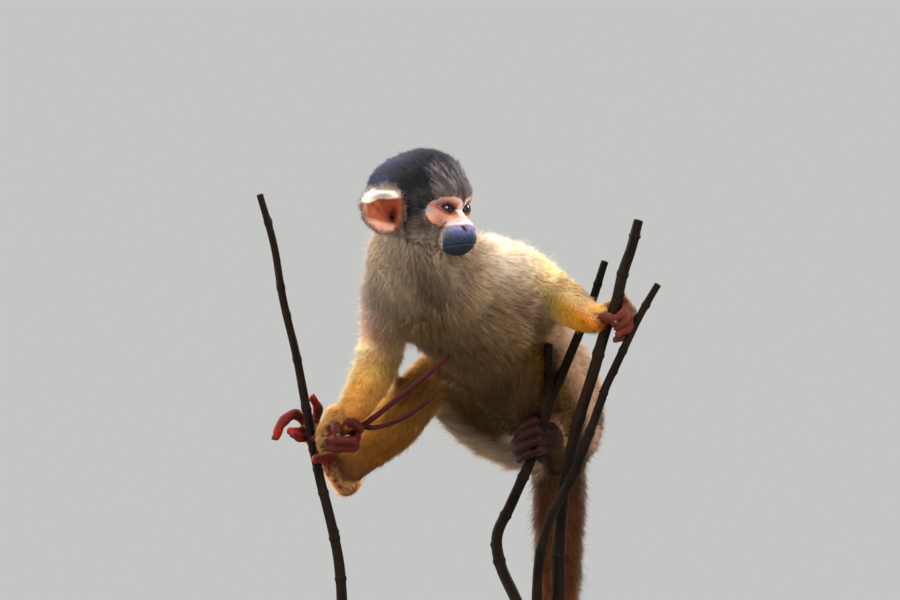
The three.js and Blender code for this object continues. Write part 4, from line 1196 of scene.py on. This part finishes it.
def lid_rim(side):
    """The moist rim of the lids: a thin tube along the edge of the almond, lying on the eyeball."""
    turn = np.linspace(0, 2 * np.pi, 72, endpoint=False)
    middle, look, out, up = eye_axes(side)
    power = 2 / LID["pointed"]
    across = np.sign(np.cos(turn)) * np.abs(np.cos(turn)) ** power * LID["half_width"] - LID["inward"]
    height = np.sign(np.sin(turn)) * np.abs(np.sin(turn)) ** power * LID["half_height"]
    height = height + LID["tilt"] * across + LID["raised"]
    level = np.sqrt(np.maximum((EYE["radius"] + 0.25) ** 2 - across**2 - height**2, 1.0))
    path = middle + out * across[:, None] + up * height[:, None] + look * level[:, None]
    ahead = unit(np.roll(path, -1, 0) - np.roll(path, 1, 0))
    outward = unit(path - middle)
    across_rim = np.cross(ahead, outward)
    sides, count = 10, len(path)
    ring = np.linspace(0, 2 * np.pi, sides, endpoint=False)
    points = path[:, None] + 0.32 * (outward[:, None] * np.sin(ring)[None, :, None]
                                    + across_rim[:, None] * np.cos(ring)[None, :, None])
    i, k = np.meshgrid(np.arange(count), np.arange(sides), indexing="ij")
    following, beside = (i + 1) % count, (k + 1) % sides
    faces = np.stack([i * sides + k, i * sides + beside,
                      following * sides + beside, following * sides + k], -1)
    mesh = mesh_of("lid_rim", from_head(points.reshape(-1, 3)), faces.reshape(-1, 4))
    paint(mesh, np.tile(LID_RIM_TONE, (count * sides, 1)))
    return mesh


for side, name in ((1, "right"), (-1, "left")):
    place(f"eyeball_{name}", eyeball(side), eye_finish, "eye", [f"eye_{name}"])
    place(f"lid_rim_{name}", lid_rim(side), skin_finish, "bare_skin")

# ---------------------------------------------------------------- ears
EAR_TUFTS = 3600
EAR_TAN, EAR_RED, EAR_CANAL_SHADE = rgb("#8b4828"), rgb("#6e1c0c"), rgb("#2c0804")
EAR_LOBE, EAR_REAR, EAR_FRONT = rgb("#b98a76"), rgb("#a98b7e"), rgb("#6b3a30")
EAR_CREAM, EAR_CREAM_END, EAR_TOP = rgb("#fbf7ea"), rgb("#cda596"), rgb("#7d5751")
EAR_BACK, EAR_FUR = rgb("#9c7f70"), rgb("#7d726e")


def ear(side):
    """A cup on a grid of rows and spokes, inner face and outer face, joined at the rim. Its colours are set
    out by how far ahead and how high a point lies."""
    rows, spokes = 60, 116
    row = np.linspace(0.001, 1, rows)[:, None] * np.ones(spokes)
    turn = np.ones((rows, 1)) * np.linspace(0, 2 * np.pi, spokes, endpoint=False)
    middle, face, up, front = ear_axes(side)
    ahead = np.cos(turn) * EAR["wide"] * row * ear_outline(turn)
    height = np.sin(turn) * EAR["tall"] * row * ear_outline(turn)
    sink, canal = ear_sink(row, turn, ahead, height)
    inner = middle + front * ahead[..., None] + up * height[..., None] - face * sink[..., None]
    shrink = (1 + 0.02 * ease(row, 0.8, 0.95))[..., None]
    deep = np.maximum(sink, 0) + EAR["wall"] * (1 - 0.6 * row**6)
    outer = (middle + front * ahead[..., None] * shrink + up * height[..., None] * shrink
             - face * deep[..., None])[::-1]
    points = np.concatenate([inner, outer]).reshape(-1, 3)
    faces = grid_faces(2 * rows, spokes)
    if side < 0:
        faces = faces[:, ::-1]
    a, h, r = ahead.ravel(), height.ravel(), row.ravel()
    tones = np.tile(EAR_TAN, (len(a), 1))
    tones = tint(tones, EAR_RED, np.exp(-(((a - 4) / 6.5) ** 2) - ((h - 0.5) / 7.5) ** 2))
    # painted shade: near black in the hollow of the canal
    tones = tint(tones, EAR_CANAL_SHADE, 0.9 * np.exp(-(((a - 5.0) / 3.8) ** 2) - ((h + 4) / 5.5) ** 2))
    tones = tint(tones, EAR_LOBE, 0.85 * ease(-h - 0.25 * a, 5.5, 8.5) * (1 - ease(a, 5, 9)))
    tones = tint(tones, EAR_REAR, 0.7 * ease(-a, 8.5, 11.5))
    tones = tint(tones, EAR_FRONT, ease(a, 9.2, 11.0) * (1 - ease(h, 3, 6)))
    cream = tint(np.tile(EAR_CREAM, (len(a), 1)), EAR_CREAM_END, 0.8 * ease(a, 6, 10))
    tones = tint(tones, cream, ease(h - 6.4 + 2.8 * ease(-a, 3, 9), 0, 1.4))
    tones = tint(tones, EAR_TOP, 0.85 * ease(h, 10.2, 11.6) * ease(a, -7, -3))
    tones = tones * (1 + 0.12 * noise(points[: rows * spokes], 1.8, 11))[:, None]
    tones = np.vstack([tones, np.tile(EAR_BACK, (len(a), 1))])
    mesh = mesh_of("ear", from_head(points), faces)
    paint(mesh, tones.clip(0, 1))
    return mesh, r, tones


for side, name in ((1, "right"), (-1, "left")):
    mesh, row, ear_tone = ear(side)
    place(f"ear_cup_{name}", mesh, ear_finish, "ear_skin", [f"ear_{name}"])
    ear_points, ear_faces = points_of(mesh), faces_of(mesh)
    half = len(row)
    weight = np.hstack([ease(row, 0.8, 0.95), 0.3 + 0.7 * ease(row[::-1], 0.7, 0.95)])
    corners, shares = scatter(ear_points, ear_faces, weight, EAR_TUFTS)
    roots = blended(ear_points, corners, shares)
    normals = unit(blended(normals_of(ear_points, ear_faces), corners, shares))
    middle, face, up, front = ear_axes(side)
    outward = unit(roots - from_head(middle[None])) - 0.5 * face @ HEAD_AXES + [0, 0, -0.25]
    behind = (corners[:, 0] >= half)
    tone = tint(blended(ear_tone, corners, shares) * 1.15, EAR_FUR, 0.2 + 0.6 * behind)
    spread = np.column_stack([rng.random(EAR_TUFTS), corners[:, 0] / (2 * half)])
    coat(f"coat_ear_{name}", "ear_skin", roots, normals, flat_to(outward, normals),
         np.where(behind, 5.5, 3.2), rng.uniform(0.25, 0.6, EAR_TUFTS), np.full(EAR_TUFTS, 0.08), tone,
         spread.clip(0, 1), clump=0.3)

# ---------------------------------------------------------------- hands and feet
SKIN_TONES = {  # skin, pads and the fur on the back
    "hand_right": ("#46130e", "#50150e", "#d79f52"),
    "hand_left": ("#542411", "#5c2113", "#dba050"),
    "foot_right": ("#54140c", "#8a1c10", "#dca266"),
    # the left foot's skin and fur are darker than those of the other hands and feet: painted shade
    "foot_left": ("#260e08", "#30110a", "#4a2f16"),
}
CREASE_TONE = rgb("#240a07")
HAND_TUFTS = 8000


def knuckles(run, angle):
    """A digit's swelling joints and the rings of wrinkles between them, as cosines along its length."""
    return 1 + 0.08 * np.cos(run * 2 * np.pi / 8.5) + 0.02 * np.cos(run * 2 * np.pi / 1.3)


def reach_from(points, paths):
    """How far points lie outside the tubes round several paths."""
    least = np.full(len(points), 1e9)
    for path in paths:
        centre, _, size = along(path, 30)
        for c, r in zip(centre, size[:, 0]):
            least = np.minimum(least, np.linalg.norm(points - c, axis=1) - r)
    return least


def hand(name, paths):
    """The palm and digits fused to one skin, and the facts that its fur needs: how much of the palm's back
    each point belongs to, and how far along the palm it lies."""
    palm = tube(paths[0], sides=40, step=1.0)
    digits = [tube(path, sides=22, step=0.5, swell=knuckles) for path in paths[1:]]
    points, faces = fused(name, *together([palm, *digits]), 0.62)
    points = evened(points, faces, 3, 0.4)
    normals = normals_of(points, faces)
    skin_code, pad_code, _ = SKIN_TONES[name]
    tips = np.array([path[-1][:3] for path in paths[1:]], float)
    middle = np.array(paths[0])[:, :3].mean(axis=0)
    near_tip = np.linalg.norm(points[:, None] - tips[None], axis=2).min(axis=1)
    grip = normals @ unit(tips.mean(axis=0) - middle)
    tones = np.tile(rgb(skin_code), (len(points), 1))
    tones = tint(tones, rgb(pad_code), 0.8 * (1 - ease(near_tip, 3, 8)) + 0.2 * ease(grip, 0.2, 0.8))
    tones = tint(tones, CREASE_TONE, 0.6 * ease(noise(points, 1.4, 4), 0.2, 0.9))
    tones = tones * (1 + 0.15 * noise(points, 4.0, 17))[:, None]
    mesh = mesh_of(name, points, faces)
    paint(mesh, tones.clip(0, 1))
    beyond = reach_from(points, [path[1:] for path in paths[1:]]) - reach_from(points, [paths[0]])
    back = ease(beyond, 0.5, 4.0)
    back = back * (1 - 0.9 * ease(grip, 0.25, 0.7))
    line = along(paths[0], 30)
    nearest = np.linalg.norm(points[:, None] - line[0][None], axis=2).argmin(axis=1)
    return mesh, points, faces, normals, back, nearest / 29, line[1][nearest]


def nail(path):
    """A curved plate on the back of a digit's end: an arc across, tapering to its end along the digit."""
    places, directions, sizes = along(path, 24)
    bend = places[-1] - 2 * places[len(places) // 2] + places[0]
    tip, ahead, size = places[-1], directions[-1], sizes[-1, 0]
    outward = -unit(bend - bend.dot(ahead) * ahead)
    across = np.cross(ahead, outward)
    rows, columns = 14, 12
    s = np.linspace(0, 1, rows)[:, None] * np.ones(columns)
    a = np.ones((rows, 1)) * np.linspace(-1, 1, columns)
    half = size * 0.5 * (1 - 0.8 * s**2.4)
    lift = np.sqrt(np.maximum(size**2 - (a * half) ** 2, 0.2)) * (1 - 0.42 * s**2) + 0.1
    top = (tip + ahead * ((s * 1.35 - 0.35) * size)[..., None] + across * (a * half)[..., None]
           + outward * lift[..., None])
    low = top - outward * 0.6
    points = np.concatenate([top, low[:, ::-1]], axis=1).reshape(-1, 3)
    return points, grid_faces(rows, 2 * columns)


nails = []
for name, paths in HANDS.items():
    mesh, points, faces, normals, back, run, direction = hand(name, paths)
    place(name + "_skin", mesh, skin_finish, "bare_skin", [name])
    nails += [nail(path) for path in paths[1:]]
    corners, shares = scatter(points, faces, back, HAND_TUFTS)
    roots = blended(points, corners, shares)
    upright = unit(blended(normals, corners, shares))
    run = blended(run, corners, shares)
    lie = flat_to(blended(direction, corners, shares) + 0.3 * np.column_stack(
        [noise(roots, 6.0, k) for k in (18, 19, 20)]), upright)
    fur = np.tile(rgb(SKIN_TONES[name][2]), (HAND_TUFTS, 1))
    atlas = np.column_stack([np.arctan2(*(roots - roots.mean(axis=0))[:, :2].T) / (2 * np.pi) + 0.5, run])
    fur = tint(fur, rgb(SKIN_TONES[name][0]), 0.4 * run)
    coat("coat_" + name, "gold_fur", roots, upright, lie, 5.8 - 2.2 * run, rng.uniform(0.2, 0.5, HAND_TUFTS),
         np.full(HAND_TUFTS, 0.13), fur, atlas.clip(0, 1), clump=0.25)
place("nails", mesh_of("nails", *together(nails)), nail_finish, "bare_skin")

# ---------------------------------------------------------------- stems
STEMS = {
    "perch_left": [[[-126.4, -31, 544.7, 2], [-117.6, -30, 512.4, 2.2], [-112.9, -29, 483, 2.3],
                    [-105.8, -29, 453.6, 2.4], [-100, -29, 424.2, 2.6], [-95.8, -29, 400.7, 2.8],
                    [-92.3, -28, 383, 2.8], [-88.2, -28, 365.4, 2.9], [-82.3, -27, 341.9, 3],
                    [-79, -27, 318, 3.1], [-78, -27, 294, 3.2]]],
    "perch_twig": [[[-95.8, -31, 401.5, 1.8], [-86.4, -43, 403, 1.8], [-76.4, -50, 405.4, 1.7],
                    [-65.9, -53, 409.5, 1.7], [-45.3, -59, 425.4, 1.5], [-26.5, -61, 440.7, 1.4],
                    [-14.7, -61, 450.7, 1.2]],
                   [[-65.9, -53, 409.5, 1.6], [-60.6, -54, 408.3, 1.4], [-44.1, -56, 413, 1.3],
                    [-27, -57, 424.2, 1.1]]],
    "perch_main": [[[94.7, -67, 528.9, 2.8], [90.6, -66, 513, 3], [85.3, -65, 497.1, 3.2],
                    [81.1, -65, 478.9, 3.2], [75.9, -62, 465.9, 3.2], [70, -56, 444.8, 3.3],
                    [60.6, -45, 412.4, 3.4],
                    [52.9, -31, 377.2, 3.6], [50.5, -22, 353.6, 3.7], [49.4, -15, 330.1, 3.8],
                    [49.5, -11, 306.6, 3.9], [49, -9, 292, 4]]],
    "perch_fork": [[[31, -5, 292, 3.4], [23, 3, 308, 3.4], [14.7, 12, 327.2, 3.4], [13.5, 15, 341.9, 3.3],
                    [21.2, 9, 360.7, 3.2], [30, 3, 380.1, 3.1], [38.2, -4, 400.7, 3], [44, -16, 421.3, 2.9],
                    [51.2, -25, 438.9, 2.7], [60, -34, 460.7, 2.6], [69.4, -42, 484.8, 2.4],
                    [75.9, -45, 505.3, 2.2]],
                   [[44, -16, 421.3, 2.8], [43.6, -27, 438.9, 2.8], [43, -37, 456.5, 2.6]]],
    "perch_side": [[[105.8, -71, 491.8, 2], [94.1, -68, 471.2, 2.2], [85.8, -65, 453.6, 2.3],
                    [77.6, -63, 436, 2.4], [73.5, -61, 425.4, 2.5], [65.9, -55, 403, 2.6],
                    [57, -49, 380.1, 2.7], [44.5, -41, 356, 2.8], [38, -30, 331.3, 2.9], [36.5, -22, 306.6, 3],
                    [37, -19, 292, 3.1]]],
}


def bark_swell(run, angle):
    """Rings where buds sat, uneven ridges along the stem, and knobs, as bells and cosines of length and
    angle."""
    ring = 0.16 * bell((run + 4 * np.sin(run / 17)) % 31.0, 15.5, 1.5)
    ridges = 0.035 * np.cos(angle * 5 + run / 9) + 0.03 * np.cos(angle * 3 - run / 5.3)
    knob = 0.2 * bell((run + 11) % 47.0, 23, 1.8) * bell(np.cos(angle - run / 30), 1, 0.5)
    return 1 + ring + ridges + knob


for name, paths in STEMS.items():
    shapes = [tube(path, sides=26, step=0.8, swell=bark_swell, bulge=0.25) for path in paths]
    mesh = mesh_of(name, *together(shapes))
    twig = name == "perch_twig"
    place(name.replace("perch", "stem"), mesh, twig_finish if twig else bark_finish,
          "twig_bark" if twig else "bark", [name])

# ---------------------------------------------------------------- stand
STAND = {"stand_base": paint_finish, "stand_rod_left": steel_finish, "stand_rod_right": steel_finish}
for name, finish in STAND.items():
    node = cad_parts[name].data
    node.materials.clear()
    node.materials.append(finish)


# ---------------------------------------------------------------- floor and light
def light(name, spot, energy, size, colour):
    """A soft square lamp that faces the animal."""
    data = bpy.data.lights.new(name, "AREA")
    data.energy, data.size, data.color = energy, size, colour
    lamp = bpy.data.objects.new(name, data)
    lamp.location = Vector(spot)
    lamp.rotation_euler = (Vector((0, 0, 0.46)) - lamp.location).to_track_quat("-Z", "Y").to_euler()
    bpy.context.scene.collection.objects.link(lamp)


light("key", (1.5, -1.5, 1.7), 68, 1.0, (1.0, 0.97, 0.93))
light("side", (-1.9, -1.3, 1.1), 56, 1.2, (1.0, 0.96, 0.9))
light("rim_right", (1.2, 1.3, 1.4), 50, 0.8, (1.0, 0.95, 0.85))
light("rim_left", (-1.5, 1.0, 1.1), 50, 0.8, (1.0, 0.93, 0.82))
light("top", (-0.4, 0.4, 2.1), 26, 1.0, (0.92, 0.95, 1.0))

world = bpy.data.worlds.new("studio")
world.use_nodes = True
world.node_tree.nodes["Background"].inputs["Color"].default_value = (0.93, 0.94, 0.92, 1)
world.node_tree.nodes["Background"].inputs["Strength"].default_value = 0.6
bpy.context.scene.world = world
bpy.context.scene.view_settings.view_transform = "Standard"

FLOOR_HALF = 3000.0
floor_points = np.array([[-1, -1, 0], [1, -1, 0], [1, 1, 0], [-1, 1, 0]]) * FLOOR_HALF
floor_mesh = mesh_of("floor", floor_points, np.array([[0, 1, 2, 3]]))
floor_mesh.materials.append(textured("floor", rgb("#83827f"), rgb("#7f7e7b"), 0.7, 60, 0.2, patch_size=3))
floor = bpy.data.objects.new("floor", floor_mesh)
bpy.context.scene.collection.objects.link(floor)
